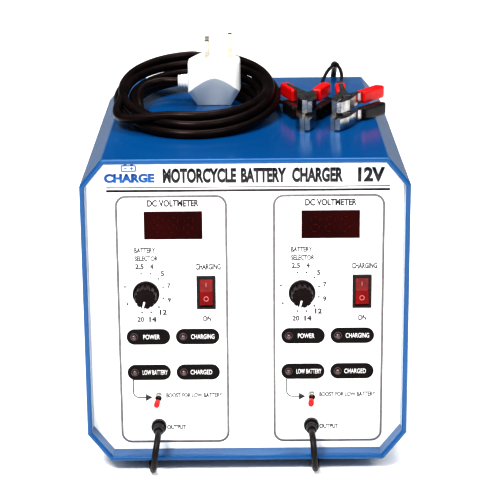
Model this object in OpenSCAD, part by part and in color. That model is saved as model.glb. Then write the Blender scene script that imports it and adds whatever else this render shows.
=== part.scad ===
/* [Case] */
// Width of the case
body_w = 280; // [252:1:340]
// Depth of the case, front edge to rear edge
body_d = 360; // [300:1:436]
// Height of the case without its feet
body_h = 273; // [262:1:328]
// Sideways run of the upper corner chamfers
top_chamfer_x = 19; // [14:1:24]
// Drop of the upper corner chamfers
top_chamfer_z = 23; // [16:1:28]
// Sideways run of the lower corner chamfers
low_chamfer_x = 20; // [14:1:24]
// Rise of the lower corner chamfers
low_chamfer_z = 25; // [18:1:32]
// Thickness of the painted sheet steel
sheet = 1.5; // [1:0.1:2]
// Width of the rim seen from the front, wrap and frame together
rim = 4.3; // [3.6:0.1:6]
// Depth of the front recess, rim edge to white panel
front_recess = 18; // [17:0.5:24]
// Depth of the rear recess, rim edge to rear panel
rear_recess = 18; // [14:0.5:24]
// Height of the rubber feet
foot_h = 10; // [8:0.5:16]
// Radius of the rubber feet
foot_r = 13; // [9:0.5:16]

/* [Panel layout] */
// Distance between the centres of the two charging channels
channel_pitch = 135; // [128:1:144]
// How far the pair of channels sits to the right of the case's middle
channel_shift = 4; // [0:0.5:6]
// Clearance around a piece that sits in a panel cut-out
cut_gap = 0.2; // [0.1:0.05:0.4]

/* [Meter] */
// Width of the voltmeter window
window_w = 50; // [42:0.5:60]
// Height of the voltmeter window
window_h = 24.5; // [20:0.5:30]
// Height of the window's middle above the case bottom
window_z = 211; // [204:0.5:216]

/* [Selector] */
// Outer radius of the selector knob
knob_r = 11.6; // [9:0.1:12.8]
// How far the knob stands out of the panel
knob_out = 17.4; // [14:0.1:17.5]
// Radius of the selector shaft
shaft_r = 3; // [2.5:0.1:3.6]
// Radial running clearance of the shaft in its bush
shaft_gap = 0.04; // [0.01:0.01:0.1]
// Height of the selector above the case bottom
selector_z = 150; // [144:0.5:156]

/* [Rocker] */
// Width of the rocker switch bezel
rocker_w = 16.4; // [14:0.2:19.6]
// Height of the rocker switch bezel
rocker_h = 29.8; // [26:0.2:35.8]
// Turn of the rocker from off to on
rocker_turn = 20; // [16:1:24]

/* [Boost switch] */
// Length of the boost lever from its pivot to the tip
lever_l = 17; // [14:0.5:18]
// Turn of the boost lever from low to high
lever_turn = 26; // [20:1:28]
// Lean of the plane that the boost lever moves in
lever_lean = 25; // [0:1:40]

/* [Lamps] */
// Length of a lamp plate
plate_l = 38; // [32:0.5:40]
// Height of a lamp plate
plate_h = 14; // [12:0.5:16]
// Radius of a lamp dome
led_r = 2.5; // [1.5:0.1:3]

/* [Cords] */
// Radius of the mains lead
mains_r = 4.1; // [3:0.05:4.5]
// Radius of an output lead
lead_r = 2.8; // [2.4:0.1:3.2]
// Radius of one core beyond the split of an output lead
core_r = 1.7; // [1.4:0.1:2]

/* [Clips] */
// Thickness of a battery clip, measured along its pin
clip_t = 12; // [10:0.5:14]
// Length of the clip jaws from the pin
jaw_l = 34; // [28:1:38]
// Turn of the moving half, jaws shut to jaws open
clip_turn = 26; // [20:1:28]
// Radius of the clip pin
pin_r = 1.6; // [1.4:0.1:2]
// Radial running clearance of the pin
pin_gap = 0.05; // [0.02:0.01:0.1]

/* [Hidden] */
$fn = 48;

// Case levels and planes
case_z = foot_h;
top_z = foot_h + body_h;
front_y = -body_d / 2;
rear_y = body_d / 2;
panel_y = front_y + front_recess;
rear_panel_y = rear_y - rear_recess;
panel_t = 1.5;
skin_gap = 0.1;
flange_h = 18;
flange_in = 8;

// Channel places: side -1 is the left one, 1 the right one
LEFT = -1;
RIGHT = 1;
function channel_x(side) = channel_shift + side * channel_pitch / 2;
selector_dx = -23;
rocker_dx = 29;
rocker_z = 150.5;
window_dx = 1.5;
boost_dx = -14;
boost_z = 54.5;
gland_dx = -14.5;
gland_z = 26.5;
plate_dx = [-22, 21];
plate_z = [110, 77];
led_in = 6.5;

// Parts behind and on the panel
window_step = 2;
bush_r = 4.6;
bush_out = 4;
rocker_wall = 1.1;
rocker_gap = 0.3;
rocker_pin_r = 1;
bezel_t = 2;
boost_bush_r = 3;
lever_r = 1.25;
lever_ball_r = 1.85;
ball_gap = 0.05;
gland_r = 6.6;
gland_out = 14;
plate_t = 0.9;
plate_step = 0.02;
mains_gland_x = -70;
mains_gland_z = 70;
mains_gland_r = 8;
mains_relief_l = 26;
fuse_x = -10;
fuse_z = 70;
fuse_r = 7;

// Feet and screws
foot_x = body_w / 2 - 38;
foot_y = body_d / 2 - 52;
screw_r = 1.7;
screw_z = case_z + low_chamfer_z + flange_h / 2;
SCREW_Y = [-0.36, 0, 0.36];

// Transformers stand on the floor of the case
core_w = 76;
core_d = 58;
core_h = 64;
core_x = 58;
core_y = 60;
leg_w = 24;
window_gap = 13;

// Octagonal case section, drawn in X and Z, inset by t
function corner_cut(run, rise, t) = t * (run + rise - sqrt(run * run + rise * rise));
function case_section(t) = let(
    x = body_w / 2 - t, z0 = case_z + t, z1 = top_z - t,
    tx = top_chamfer_x - corner_cut(top_chamfer_x, top_chamfer_z, t) / top_chamfer_z,
    tz = tx * top_chamfer_z / top_chamfer_x,
    lx = low_chamfer_x - corner_cut(low_chamfer_x, low_chamfer_z, t) / low_chamfer_z,
    lz = lx * low_chamfer_z / low_chamfer_x)
  [[-x + lx, z0], [x - lx, z0], [x, z0 + lz], [x, z1 - tz],
   [x - tx, z1], [-x + tx, z1], [-x, z1 - tz], [-x, z0 + lz]];

module case_prism(t, y0, y1) {
  translate([0, y1, 0]) rotate([90, 0, 0]) linear_extrude(y1 - y0) polygon(case_section(t));
}

module case_ring(t0, t1, y0, y1) {
  difference() {
    case_prism(t0, y0, y1);
    case_prism(t1, y0 - 1, y1 + 1);
  }
}

// A slab that keeps only the heights from z0 to z1
module band(z0, z1) {
  translate([-body_w, -body_d, z0]) cube([2 * body_w, 2 * body_d, z1 - z0]);
}

// A rod along Y from y0 to y1
module rod_y(x, z, r, y0, y1, fn = 48) {
  translate([x, y1, z]) rotate([90, 0, 0]) cylinder(r = r, h = y1 - y0, $fn = fn);
}

module box_y(x, z, w, h, y0, y1) {
  translate([x - w / 2, y0, z - h / 2]) cube([w, y1 - y0, h]);
}

// Screw places, shared by the cover, the pan and the screws
module at_screws() {
  for (side = [LEFT, RIGHT], share = SCREW_Y)
    translate([side * body_w / 2, share * body_d, screw_z]) rotate([0, side * 90, 0]) children();
}

split_z = case_z + low_chamfer_z;

module top_cover() {
  color([0.03, 0.31, 0.66]) difference() {
    intersection() {
      case_ring(0, sheet, front_y, rear_y);
      band(split_z, top_z + 1);
    }
    at_screws() translate([0, 0, -sheet - 1]) cylinder(r = screw_r + cut_gap, h = sheet + 2);
  }
}

// Floor, lower chamfers and the two flanges that stand inside the cover
module base_pan() {
  inner = sheet + skin_gap;
  joggle = 3;
  flange_end = 24;
  color([0.05, 0.34, 0.68]) difference() {
    union() {
      intersection() {
        case_ring(0, sheet, front_y, rear_y);
        band(case_z - 1, split_z - skin_gap);
      }
      intersection() {
        case_ring(inner, inner + sheet, front_y + flange_end, rear_y - flange_end);
        band(split_z - joggle, split_z + flange_h);
      }
      intersection() {
        case_ring(sheet / 2, inner + sheet, front_y + flange_end, rear_y - flange_end);
        band(split_z - joggle, split_z - skin_gap);
      }
    }
    at_screws() translate([0, 0, -rim - 1]) cylinder(r = screw_r + 0.05, h = rim + 1);
  }
}

// Folded frame that doubles the rim and carries the white panel
module front_frame() {
  color([0.03, 0.31, 0.66]) {
    case_ring(sheet + skin_gap, rim, front_y, panel_y + panel_t + sheet + skin_gap);
    case_ring(rim - 1, rim + flange_in, panel_y + panel_t + skin_gap, panel_y + panel_t + sheet + skin_gap);
  }
}

// Everything that is cut out of the white panel for one channel
module panel_cuts(side) {
  x = channel_x(side);
  back = panel_y + panel_t + 1;
  box_y(x + window_dx, case_z + window_z, window_w - 2 * window_step, window_h - 2 * window_step,
    panel_y - 1, back);
  rod_y(x + selector_dx, case_z + selector_z, bush_r + cut_gap, panel_y - 1, back);
  box_y(x + rocker_dx, case_z + rocker_z, rocker_w - 2, rocker_h - 2, panel_y - 1, back);
  rod_y(x + boost_dx, case_z + boost_z, boost_bush_r + cut_gap, panel_y - 1, back);
  rod_y(x + gland_dx, case_z + gland_z, gland_r - 1.5 + cut_gap, panel_y - 1, back);
  for (dx = plate_dx, z = plate_z)
    rod_y(x + dx - plate_l / 2 + led_in, case_z + z, led_r + cut_gap, panel_y - 1, back);
}

module front_panel() {
  color("white") difference() {
    case_prism(rim + cut_gap, panel_y, panel_y + panel_t);
    panel_cuts(LEFT);
    panel_cuts(RIGHT);
  }
}

// Vent slots in two blocks, the gland hole and the fuse hole
module rear_panel() {
  vent_w = 60;
  vent_h = 3;
  vent_pitch = 8;
  vent_rows = 9;
  vent_top = case_z + body_h - 50;
  color([0.05, 0.34, 0.68]) difference() {
    union() {
      case_ring(sheet + skin_gap, rim, rear_panel_y - panel_t, rear_y);
      case_prism(rim - 1, rear_panel_y - panel_t, rear_panel_y);
    }
    for (side = [LEFT, RIGHT], k = [0 : vent_rows - 1])
      box_y(side * 60, vent_top - k * vent_pitch, vent_w, vent_h, rear_panel_y - panel_t - 1, rear_panel_y + 1);
    rod_y(mains_gland_x, case_z + mains_gland_z, mains_gland_r - 2 + cut_gap, rear_panel_y - 5, rear_panel_y + 1);
    rod_y(fuse_x, case_z + fuse_z, fuse_r - 1 + cut_gap, rear_panel_y - 5, rear_panel_y + 1);
  }
}

// A turned rubber foot, held by its own moulded stud through the pan
module rubber_foot(sx, sy) {
  color([0.06, 0.06, 0.06]) translate([sx * foot_x, sy * foot_y, 0])
    rotate_extrude() polygon([[0, 0], [foot_r - 2.5, 0], [foot_r - 1.5, 1], [foot_r, foot_h - 0.5],
      [foot_r - 0.5, foot_h], [0, foot_h]]);
}

// Low pan heads with a shank through the cover into the flange
module case_screws() {
  head_t = 1.2;
  head_r = 3.4;
  color([0.7, 0.7, 0.72]) at_screws() difference() {
    union() {
      cylinder(r = head_r, h = head_t);
      translate([0, 0, -6]) cylinder(r = screw_r, h = 6.5);
    }
    for (a = [0, 90]) rotate(a) translate([-2, -0.4, head_t - 0.6]) cube([4, 0.8, 1]);
  }
}

// Red filter pane with a step that fills the panel cut-out
module display_window(side) {
  x = channel_x(side) + window_dx;
  z = case_z + window_z;
  pane_t = 1.2;
  color([0.2, 0.01, 0.02, 0.9]) {
    box_y(x, z, window_w, window_h, panel_y - pane_t, panel_y - 0.02);
    box_y(x, z, window_w - 2 * window_step - 2 * cut_gap, window_h - 2 * window_step - 2 * cut_gap,
      panel_y - pane_t / 2, panel_y + panel_t);
  }
}

// Meter circuit boards with their three-digit display blocks
module display_boards() {
  board_gap = 9;
  for (side = [LEFT, RIGHT]) {
    x = channel_x(side) + window_dx;
    z = case_z + window_z;
    y = panel_y + panel_t;
    color([0.05, 0.3, 0.15]) box_y(x, z, window_w + 8, window_h + 10, y + board_gap, y + board_gap + 1.6);
    color([0.12, 0.12, 0.12]) box_y(x, z, window_w - 12, window_h - 8, y + 2, y + board_gap + 0.5);
    for (sx = [-1, 1], sz = [-1, 1])
      color([0.75, 0.75, 0.72])
        rod_y(x + sx * (window_w / 2 + 1.5), z + sz * (window_h / 2 + 2.5), 1.6, y, y + board_gap + 0.5, 24);
  }
}

// Rotary switch: a round wafer body, its threaded bush and the panel nut
module selector_switch(side) {
  x = channel_x(side) + selector_dx;
  z = case_z + selector_z;
  body_r = 13;
  color([0.35, 0.32, 0.28]) difference() {
    union() {
      rod_y(x, z, body_r, panel_y + panel_t + 0.05, panel_y + 20);
      rod_y(x, z, bush_r, panel_y - bush_out, panel_y + panel_t + 1);
      rod_y(x, z, 6.5, panel_y - 1.6, panel_y - 0.02, 6);
    }
    rod_y(x, z, shaft_r + shaft_gap, panel_y - bush_out - 1, panel_y + 16);
  }
}

// Fluted skirted knob on its shaft, pointer groove towards angle a
module selector_knob(side) {
  x = channel_x(side) + selector_dx;
  z = case_z + selector_z;
  rest_angle = 195;
  skirt_t = 3.5;
  stand = 1.4 + 0.4;
  color([0.05, 0.05, 0.05]) {
    difference() {
      union() {
        rod_y(x, z, knob_r, panel_y - stand - skirt_t, panel_y - stand);
        rod_y(x, z, knob_r * 0.8, panel_y - knob_out, panel_y - stand - skirt_t + 0.5);
      }
      rod_y(x, z, 7.4, panel_y - bush_out - 0.6, panel_y);
      for (a = [0 : 30 : 330])
        translate([x, 0, z]) rotate([0, rest_angle + a, 0])
          rod_y(0, knob_r * 0.93, 1.7, panel_y - knob_out - 1, panel_y - stand - skirt_t - 0.4, 24);
      translate([x, 0, z]) rotate([0, rest_angle, 0])
        box_y(0, knob_r * 0.45, 1.2, knob_r * 0.8, panel_y - knob_out - 1, panel_y - knob_out + 0.5);
    }
  }
  color([0.7, 0.7, 0.7]) rod_y(x, z, shaft_r, panel_y - knob_out + 2, panel_y + 15.5);
}

// Snap-in housing of the mains rocker, open at the front
module rocker_housing(side) {
  x = channel_x(side) + rocker_dx;
  z = case_z + rocker_z;
  in_w = rocker_w - 2 * rocker_wall - 2.2;
  in_h = rocker_h - 2 * rocker_wall - 2.2;
  deep = 15;
  color([0.05, 0.05, 0.05]) difference() {
    union() {
      box_y(x, z, rocker_w, rocker_h, panel_y - bezel_t, panel_y - 0.02);
      box_y(x, z, rocker_w - 2 - 2 * cut_gap, rocker_h - 2 - 2 * cut_gap, panel_y - bezel_t / 2, panel_y + deep);
    }
    box_y(x, z, in_w, in_h, panel_y - bezel_t - 1, panel_y + deep - 2);
    translate([x - in_w / 2 - 1, panel_y + 1.5, z]) rotate([0, 90, 0])
      cylinder(r = rocker_pin_r + 0.05, h = in_w + 2);
  }
  color([0.75, 0.65, 0.35]) for (dz = [-8, 0, 8])
    box_y(x, z + dz, 5, 0.8, panel_y + deep - 0.5, panel_y + deep + 8);
}

// Rocker: two flats that meet in a shallow V over the pivot
module rocker(side) {
  x = channel_x(side) + rocker_dx;
  z = case_z + rocker_z;
  in_w = rocker_w - 2 * rocker_wall - 2.2;
  in_h = rocker_h - 2 * rocker_wall - 2.2;
  w = in_w - 2 * rocker_gap;
  h = in_h / 2 - rocker_gap - 0.9;
  crown = 4.6;
  dip = 2.6;
  color([0.75, 0.05, 0.05]) translate([x, panel_y + 1.5, z]) rotate([-rocker_turn / 2, 0, 0]) {
    translate([-w / 2, 0, 0]) rotate([90, 0, 90]) linear_extrude(w)
      polygon([[-crown, -h], [-dip, 0], [-crown, h], [2, h - 0.6], [5, 3], [5, -3], [2, 0.6 - h]]);
    translate([-in_w / 2 - 0.8, 0, 0]) rotate([0, 90, 0]) cylinder(r = rocker_pin_r, h = in_w + 1.6);
  }
}

// Miniature toggle switch with its hexagon nut
module boost_switch(side) {
  x = channel_x(side) + boost_dx;
  z = case_z + boost_z;
  color([0.72, 0.72, 0.72]) difference() {
    union() {
      box_y(x, z, 8, 13, panel_y + panel_t + 0.05, panel_y + 12);
      rod_y(x, z, boost_bush_r, panel_y - 5.5, panel_y + panel_t + 1);
      rod_y(x, z, 4.6, panel_y - 1.8, panel_y - 0.02, 6);
    }
    translate([x, panel_y - 1, z]) rotate([90, 0, 0]) cylinder(r1 = 1.6, r2 = 2.7, h = 4.6);
    rod_y(x, z, lever_ball_r + ball_gap, panel_y - 1.5, panel_y + 2);
  }
}

// Bat lever with its red sleeve, in its low place
module boost_lever(side) {
  x = channel_x(side) + boost_dx;
  z = case_z + boost_z;
  sleeve_l = 8;
  sleeve_t = 1.4;
  translate([x, panel_y, z]) rotate([0, lever_lean, 0]) rotate([lever_turn / 2, 0, 0]) {
    color([0.8, 0.8, 0.8]) rod_y(0, 0, lever_r, -lever_l + 1, 0.4, 32);
    color([0.8, 0.8, 0.8]) sphere(r = lever_ball_r);
    color([0.8, 0.06, 0.06]) rod_y(0, 0, lever_r + sleeve_t, -lever_l, -lever_l + sleeve_l, 32);
  }
}

// Outline of a lamp plate, a bar with round ends
module stadium(l, h) {
  square([l - h, h], center = true);
  for (sx = [-1, 1]) translate([sx * (l - h) / 2, 0]) circle(r = h / 2);
}

// Four black plates, each with the hole for its lamp dome
module lamp_plates(side) {
  color([0.06, 0.05, 0.05]) for (dx = plate_dx, z = plate_z)
    translate([channel_x(side) + dx, panel_y - plate_step, case_z + z]) rotate([90, 0, 0])
      linear_extrude(plate_t) difference() {
        stadium(plate_l, plate_h);
        translate([led_in - plate_l / 2, 0]) circle(r = led_r + 0.1);
      }
}

// Four lamps, each a flanged dome pushed through the panel from behind
module lamp_domes(side) {
  color([0.25, 0.03, 0.03]) for (dx = plate_dx, z = plate_z)
    translate([channel_x(side) + dx - plate_l / 2 + led_in, panel_y - 1.6, case_z + z]) rotate([90, 0, 0]) {
      intersection() {
        sphere(r = led_r);
        cylinder(r = led_r + 1, h = led_r + 1);
      }
      translate([0, 0, -5]) cylinder(r = led_r, h = 5);
      translate([0, 0, -5.5]) cylinder(r = led_r + 0.6, h = 1);
    }
}

// Cable gland that an output lead leaves: collar, hexagon and boot
module output_gland(side) {
  x = channel_x(side) + gland_dx;
  z = case_z + gland_z;
  color([0.05, 0.05, 0.05]) difference() {
    union() {
      rod_y(x, z, gland_r, panel_y - 4, panel_y - 0.02);
      rod_y(x, z, gland_r - 1.5, panel_y - gland_out + 4, panel_y + panel_t + 8);
      rod_y(x, z, gland_r + 1, panel_y + panel_t + 0.1, panel_y + panel_t + 3.5, 6);
      translate([x, panel_y - gland_out + 5, z]) rotate([90, 0, 0])
        cylinder(r1 = gland_r - 1.5, r2 = lead_r + 1.2, h = 5);
    }
    rod_y(x, z, lead_r, panel_y - gland_out + 3, panel_y + panel_t + 9);
  }
}

// Mains gland with a long tapered strain relief
module mains_gland() {
  z = case_z + mains_gland_z;
  back = rear_panel_y;
  color([0.05, 0.05, 0.05]) {
    rod_y(mains_gland_x, z, mains_gland_r, back + 0.02, back + 5);
    rod_y(mains_gland_x, z, mains_gland_r - 2, back - panel_t - 6, back + 1);
    rod_y(mains_gland_x, z, mains_gland_r + 1, back - panel_t - 4, back - panel_t - 0.1, 6);
    translate([mains_gland_x, back + 4.5, z]) rotate([-90, 0, 0])
      cylinder(r1 = mains_gland_r - 1.5, r2 = mains_r + 0.9, h = mains_relief_l - 4.5);
  }
}

module fuse_holder() {
  z = case_z + fuse_z;
  back = rear_panel_y;
  color([0.06, 0.06, 0.06]) difference() {
    union() {
      rod_y(fuse_x, z, fuse_r + 1.5, back + 0.02, back + 3);
      rod_y(fuse_x, z, fuse_r - 1, back - 30, back + 1);
      rod_y(fuse_x, z, fuse_r + 2, back - panel_t - 5, back - panel_t - 0.1, 6);
    }
    rod_y(fuse_x, z, fuse_r - 2.5, back - 26, back + 4);
  }
}

// Bayonet cap: its neck turns in the holder
module fuse_cap() {
  z = case_z + fuse_z;
  back = rear_panel_y;
  color([0.04, 0.04, 0.04]) difference() {
    union() {
      rod_y(fuse_x, z, fuse_r, back + 3.3, back + 9);
      rod_y(fuse_x, z, fuse_r - 2.55, back - 24, back + 4);
    }
    box_y(fuse_x, z, 1.4, 2 * fuse_r + 1, back + 7.5, back + 10);
    for (a = [0 : 30 : 330])
      translate([fuse_x, 0, z]) rotate([0, a + 15, 0]) rod_y(0, fuse_r + 0.5, 1, back + 4.2, back + 10, 24);
  }
}

// Laminated core, a frame with a middle leg, on a mounting strap
module transformer_core(side) {
  color([0.25, 0.26, 0.28]) translate([side * core_x, core_y, case_z + sheet + 0.05]) difference() {
    union() {
      translate([-core_w / 2, -core_d / 2, 0]) cube([core_w, core_d, core_h]);
      translate([-core_w / 2 - 9, -12, 0]) cube([core_w + 18, 24, 2]);
    }
    for (sx = [-1, 1]) translate([sx * (leg_w / 2 + window_gap / 2), 0, core_h / 2])
      cube([window_gap, core_d + 2, core_h - leg_w], center = true);
  }
}

// Winding around the middle leg of its core
module transformer_winding(side) {
  swell = 14;
  color([0.55, 0.42, 0.16]) translate([side * core_x, core_y, case_z + sheet + core_h / 2]) difference() {
    cube([leg_w + 2 * window_gap - 1, core_d + 2 * swell, core_h - leg_w - 1], center = true);
    cube([leg_w + 0.6, core_d + 0.6, core_h], center = true);
  }
}

// Rectifier and timer board on pillars, with two finned heat sinks
module charger_board() {
  board_w = 190;
  board_d = 96;
  y = -70;
  pillar = 8;
  z = case_z + sheet + 0.05;
  color([0.1, 0.35, 0.15]) translate([-board_w / 2, y - board_d / 2, z + pillar]) cube([board_w, board_d, 1.6]);
  for (sx = [-1, 1], sy = [-1, 1])
    color([0.75, 0.7, 0.4]) translate([sx * (board_w / 2 - 5), y + sy * (board_d / 2 - 5), z])
      cylinder(r = 3, h = pillar + 0.5, $fn = 24);
  for (sx = [-1, 1]) color([0.6, 0.6, 0.62]) translate([sx * 50 - 30, y - 20, z + pillar + 1]) {
    cube([60, 30, 5]);
    for (k = [0 : 6]) translate([k * 9.6, 0, 0]) cube([2.2, 30, 34]);
  }
  for (sx = [-1, 1]) color([0.1, 0.12, 0.3]) translate([sx * 72, y + 32, z + pillar + 1])
    cylinder(r = 9, h = 30);
}

// Vector helpers for the cords
function unit(v) = v / norm(v);
function clamp01(t) = max(0, min(t, 1));

// Routes are written for a case of this depth, height and foot height, and follow the case when it changes
route_d = 360;
route_h = 273;
route_foot = 10;
function follow(p) = [p[0], p[1] + sign(p[1]) * clamp01((abs(p[1]) - 100) / 70) * (body_d - route_d) / 2,
  p[2] + clamp01(p[2] / 36) * (foot_h - route_foot) + clamp01((p[2] - 80) / 200) * (body_h - route_h)];
function tied(route) = [for (p = route) follow(p)];

function tangent(p, i) = unit(p[min(i + 1, len(p) - 1)] - p[max(i - 1, 0)]);
function square_to(n, t) = unit(n - (n * t) * t);
function first_normal(t) = square_to(abs(t[0]) < 0.8 ? [1, 0, 0] : [0, 1, 0], t);

// One normal for each point, carried along the route without twist
function normals(p) = [for (i = 0, n = first_normal(tangent(p, 0)); i < len(p);
    i = i + 1, n = square_to(n, tangent(p, min(i, len(p) - 1)))) n];

// A tube of a given radius along a route, closed at both ends
module tube(p, r, sides) {
  n = normals(p);
  last = len(p) - 1;
  points = [for (i = [0 : last], k = [0 : sides - 1]) let(t = tangent(p, i), a = 360 * k / sides)
      p[i] + r * (cos(a) * n[i] + sin(a) * cross(t, n[i]))];
  sides_quads = [for (i = [0 : last - 1], k = [0 : sides - 1]) let(j = (k + 1) % sides)
      [i * sides + k, (i + 1) * sides + k, (i + 1) * sides + j, i * sides + j]];
  start = [[for (k = [0 : sides - 1]) k]];
  end = [[for (k = [0 : sides - 1]) last * sides + sides - 1 - k]];
  polyhedron(points, concat(sides_quads, start, end), convexity = 6);
}

// Mains lead: gland, a hanging bight behind the case, over the rear edge to the coil
MAINS_ROUTE = [[-70, 188, 80], [-70, 200, 79], [-71, 214, 75], [-74, 226, 66], [-79, 232, 53], [-87, 230, 41],
  [-97, 224, 34], [-108, 216, 36], [-116, 209, 46], [-119, 204, 62], [-119, 199, 100], [-118, 196, 150],
  [-117, 194, 200], [-115, 193, 240], [-112, 193, 262], [-109, 191, 276], [-103, 186, 287], [-93, 177, 293],
  [-78, 165, 296], [-62, 153, 297], [-46, 140, 297], [-30, 127, 298], [-16, 117, 300], [-3, 106, 301]];

// Coil of the mains lead: middle of the ring, its half width and half depth at the middle of the bundle
coil_x = -43;
coil_y = 10;
coil_a = 62;
coil_b = 104;
coil_half_w = 13;
coil_spread = 4;
coil_low = 12;
coil_rise = 9;

// Oval ring whose bundle of turns grows wider and taller towards the rear
module mains_coil() {
  steps = 48;
  sides = 12;
  function bundle(u, v) = let(rear = (1 + sin(u)) / 2, tall = coil_low + coil_rise * rear,
      grow = (coil_half_w + coil_spread * rear) * cos(v))
    [coil_x + (coil_a + grow) * cos(u), coil_y + (coil_b + grow) * sin(u), top_z + tall + 0.1 + tall * sin(v)];
  points = [for (i = [0 : steps - 1], k = [0 : sides - 1]) bundle(360 * i / steps, 360 * k / sides)];
  quads = [for (i = [0 : steps - 1], k = [0 : sides - 1]) let(a = (i + 1) % steps, j = (k + 1) % sides)
      [i * sides + k, i * sides + j, a * sides + j, a * sides + k]];
  color([0.06, 0.05, 0.05]) polyhedron(points, quads, convexity = 6);
}

// Last stretch of the mains lead, from the coil's inner turn to the plug
PLUG_ROUTE = [[-98.5, 0, 296], [-99.5, 15, 298], [-98, 30, 301], [-92, 42, 303.5], [-82, 48, 304.9],
  [-63.4, 48, 305.1]];

// Plug: flat cover down, pins up, lead out of its left side
plug_x = -28.5;
plug_y = 48;
plug_w = 50;
plug_d = 50;
plug_h = 45;
plug_exit_z = 22;
collar_l = 10;
facet_in = 13;

function plug_outline(t) = let(w = plug_w / 2 - t, d = plug_d / 2 - t)
  [[-w + 4, -d], [w - 5, -d], [w - 1, -d + 4], [w, d - 24], [w - 7, d - 6], [w - 12, d], [-w + 13, d],
   [-w + 9, d - 4], [-w, d - 32], [-w, -d + 4]];

module mains_plug() {
  color([0.93, 0.93, 0.92]) translate([plug_x, plug_y, top_z + 0.1]) {
    difference() {
      linear_extrude(plug_h) polygon(plug_outline(0));
      translate([-plug_w, facet_in - plug_d / 2, 0]) rotate([25, 0, 0]) translate([0, -plug_d, -plug_h])
        cube([2 * plug_w, plug_d, 2 * plug_h]);
    }
    translate([-plug_w / 2 - collar_l, 0, plug_exit_z]) rotate([0, 90, 0])
      cylinder(r1 = mains_r + 1.6, r2 = mains_r + 3.6, h = collar_l + 6);
  }
}

// Three flat pins: a long one away from the lead, two shorter ones beside it
module plug_pins() {
  color([0.75, 0.62, 0.3]) translate([plug_x, plug_y, top_z + plug_h + 0.1]) {
    translate([15 - 2, -4, 0]) cube([4, 8, 22.7]);
    for (sy = [-1, 1]) translate([-7 - 2, sy * 11.1 - 3.2, 0]) cube([4, 6.4, 17.7]);
  }
}

// Output leads: out of the gland, down past the rim, back under the case, up behind it and over the top
LEAD_ROUTE_LEFT = [[-78, -176, 36.5], [-78, -183, 36], [-78.5, -190, 33], [-79.5, -195, 27], [-80.5, -197, 20],
  [-81.5, -195, 12], [-82.5, -190, 6.5], [-83.5, -182, 3.6], [-84.5, -170, 3], [-85, -140, 3], [-82, -100, 3],
  [-75, -50, 3], [-65, 0, 3], [-52, 50, 3], [-38, 100, 3], [-26, 150, 3], [-20, 180, 3], [-17, 194, 4.5],
  [-15, 204, 10], [-14, 208, 20], [-13, 206, 50], [-12, 200, 100], [-10, 195, 160], [-8, 191, 220],
  [-6, 189, 256], [-5, 188, 274], [-3, 184, 288], [0, 174, 294], [5, 161, 293], [11, 146, 290], [17, 131, 288]];
LEAD_ROUTE_RIGHT = [[57, -176, 36.5], [57, -183, 36], [57.5, -190, 33], [58, -195, 27], [58.5, -197, 20],
  [59, -195, 12], [59.5, -190, 6.5], [60, -182, 3.6], [61, -170, 3], [62, -140, 3], [64, -100, 3],
  [66, -50, 3], [68, 0, 3], [71, 50, 3], [74, 100, 3], [78, 150, 3], [81, 180, 3], [83, 194, 4.5],
  [84, 204, 10], [85, 208, 20], [86, 206, 50], [87, 200, 100], [89, 196, 160], [90, 193, 220],
  [91, 191, 256], [92, 190, 275], [93, 186, 288], [93, 177, 296]];

// Moulded boot where a lead splits into its two cores
split_l = 13;
SPLIT_DIR_LEFT = unit([6, -13, -1]);
SPLIT_DIR_RIGHT = unit([0, -13, 2]);
function split_start(side) = follow(side == LEFT ? LEAD_ROUTE_LEFT[len(LEAD_ROUTE_LEFT) - 1]
  : LEAD_ROUTE_RIGHT[len(LEAD_ROUTE_RIGHT) - 1]);
function split_dir(side) = side == LEFT ? SPLIT_DIR_LEFT : SPLIT_DIR_RIGHT;
function split_end(side, k) = split_start(side) + split_l * split_dir(side)
  + k * (core_r + 0.2) * unit(cross(split_dir(side), [0, 0, 1]));

module lead_split(side) {
  start = split_start(side);
  way = split_dir(side);
  across = unit(cross(way, [0, 0, 1]));
  color([0.05, 0.05, 0.05]) hull() {
    tube([start, start + way], lead_r + 0.6, 12);
    for (k = [-1, 1]) tube([split_end(side, k) - way, split_end(side, k)], core_r + 0.6, 12);
  }
}

// Clips: pin place, turn of the handles, height of the middle. Red clips lie on the black ones.
black_mid = clip_t / 2;
red_mid = clip_t * 1.5 + 0.3;
CLIPS = [["black", LEFT, [56, -44], 86, black_mid], ["red", LEFT, [57, -24], 89, red_mid],
  ["black", RIGHT, [92, -46], 70, black_mid], ["red", RIGHT, [93, -30], 72, red_mid]];
BLACK_LEFT = CLIPS[0];
RED_LEFT = CLIPS[1];
BLACK_RIGHT = CLIPS[2];
RED_RIGHT = CLIPS[3];

// Handle line of the fixed half, from its root to the end of its grip
handle_root = [-6, 8];
handle_end = [-17.5, 45];
handle_way = unit(handle_end - handle_root);
grip_start = 12;
grip_l = 33;
grip_w = 8.4;
grip_t = clip_t - 1.2;

// A place in a clip's own axes, as a place on the case
function clip_place(c, p) = let(a = c[3] - 90)
  [c[2][0] + p[0] * cos(a) - p[1] * sin(a), c[2][1] + p[0] * sin(a) + p[1] * cos(a), top_z + c[4]];
function grip_tip(c) = clip_place(c, handle_root + (grip_start + grip_l) * handle_way);
function grip_dir(c) = unit(clip_place(c, handle_end) - clip_place(c, handle_root));

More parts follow.
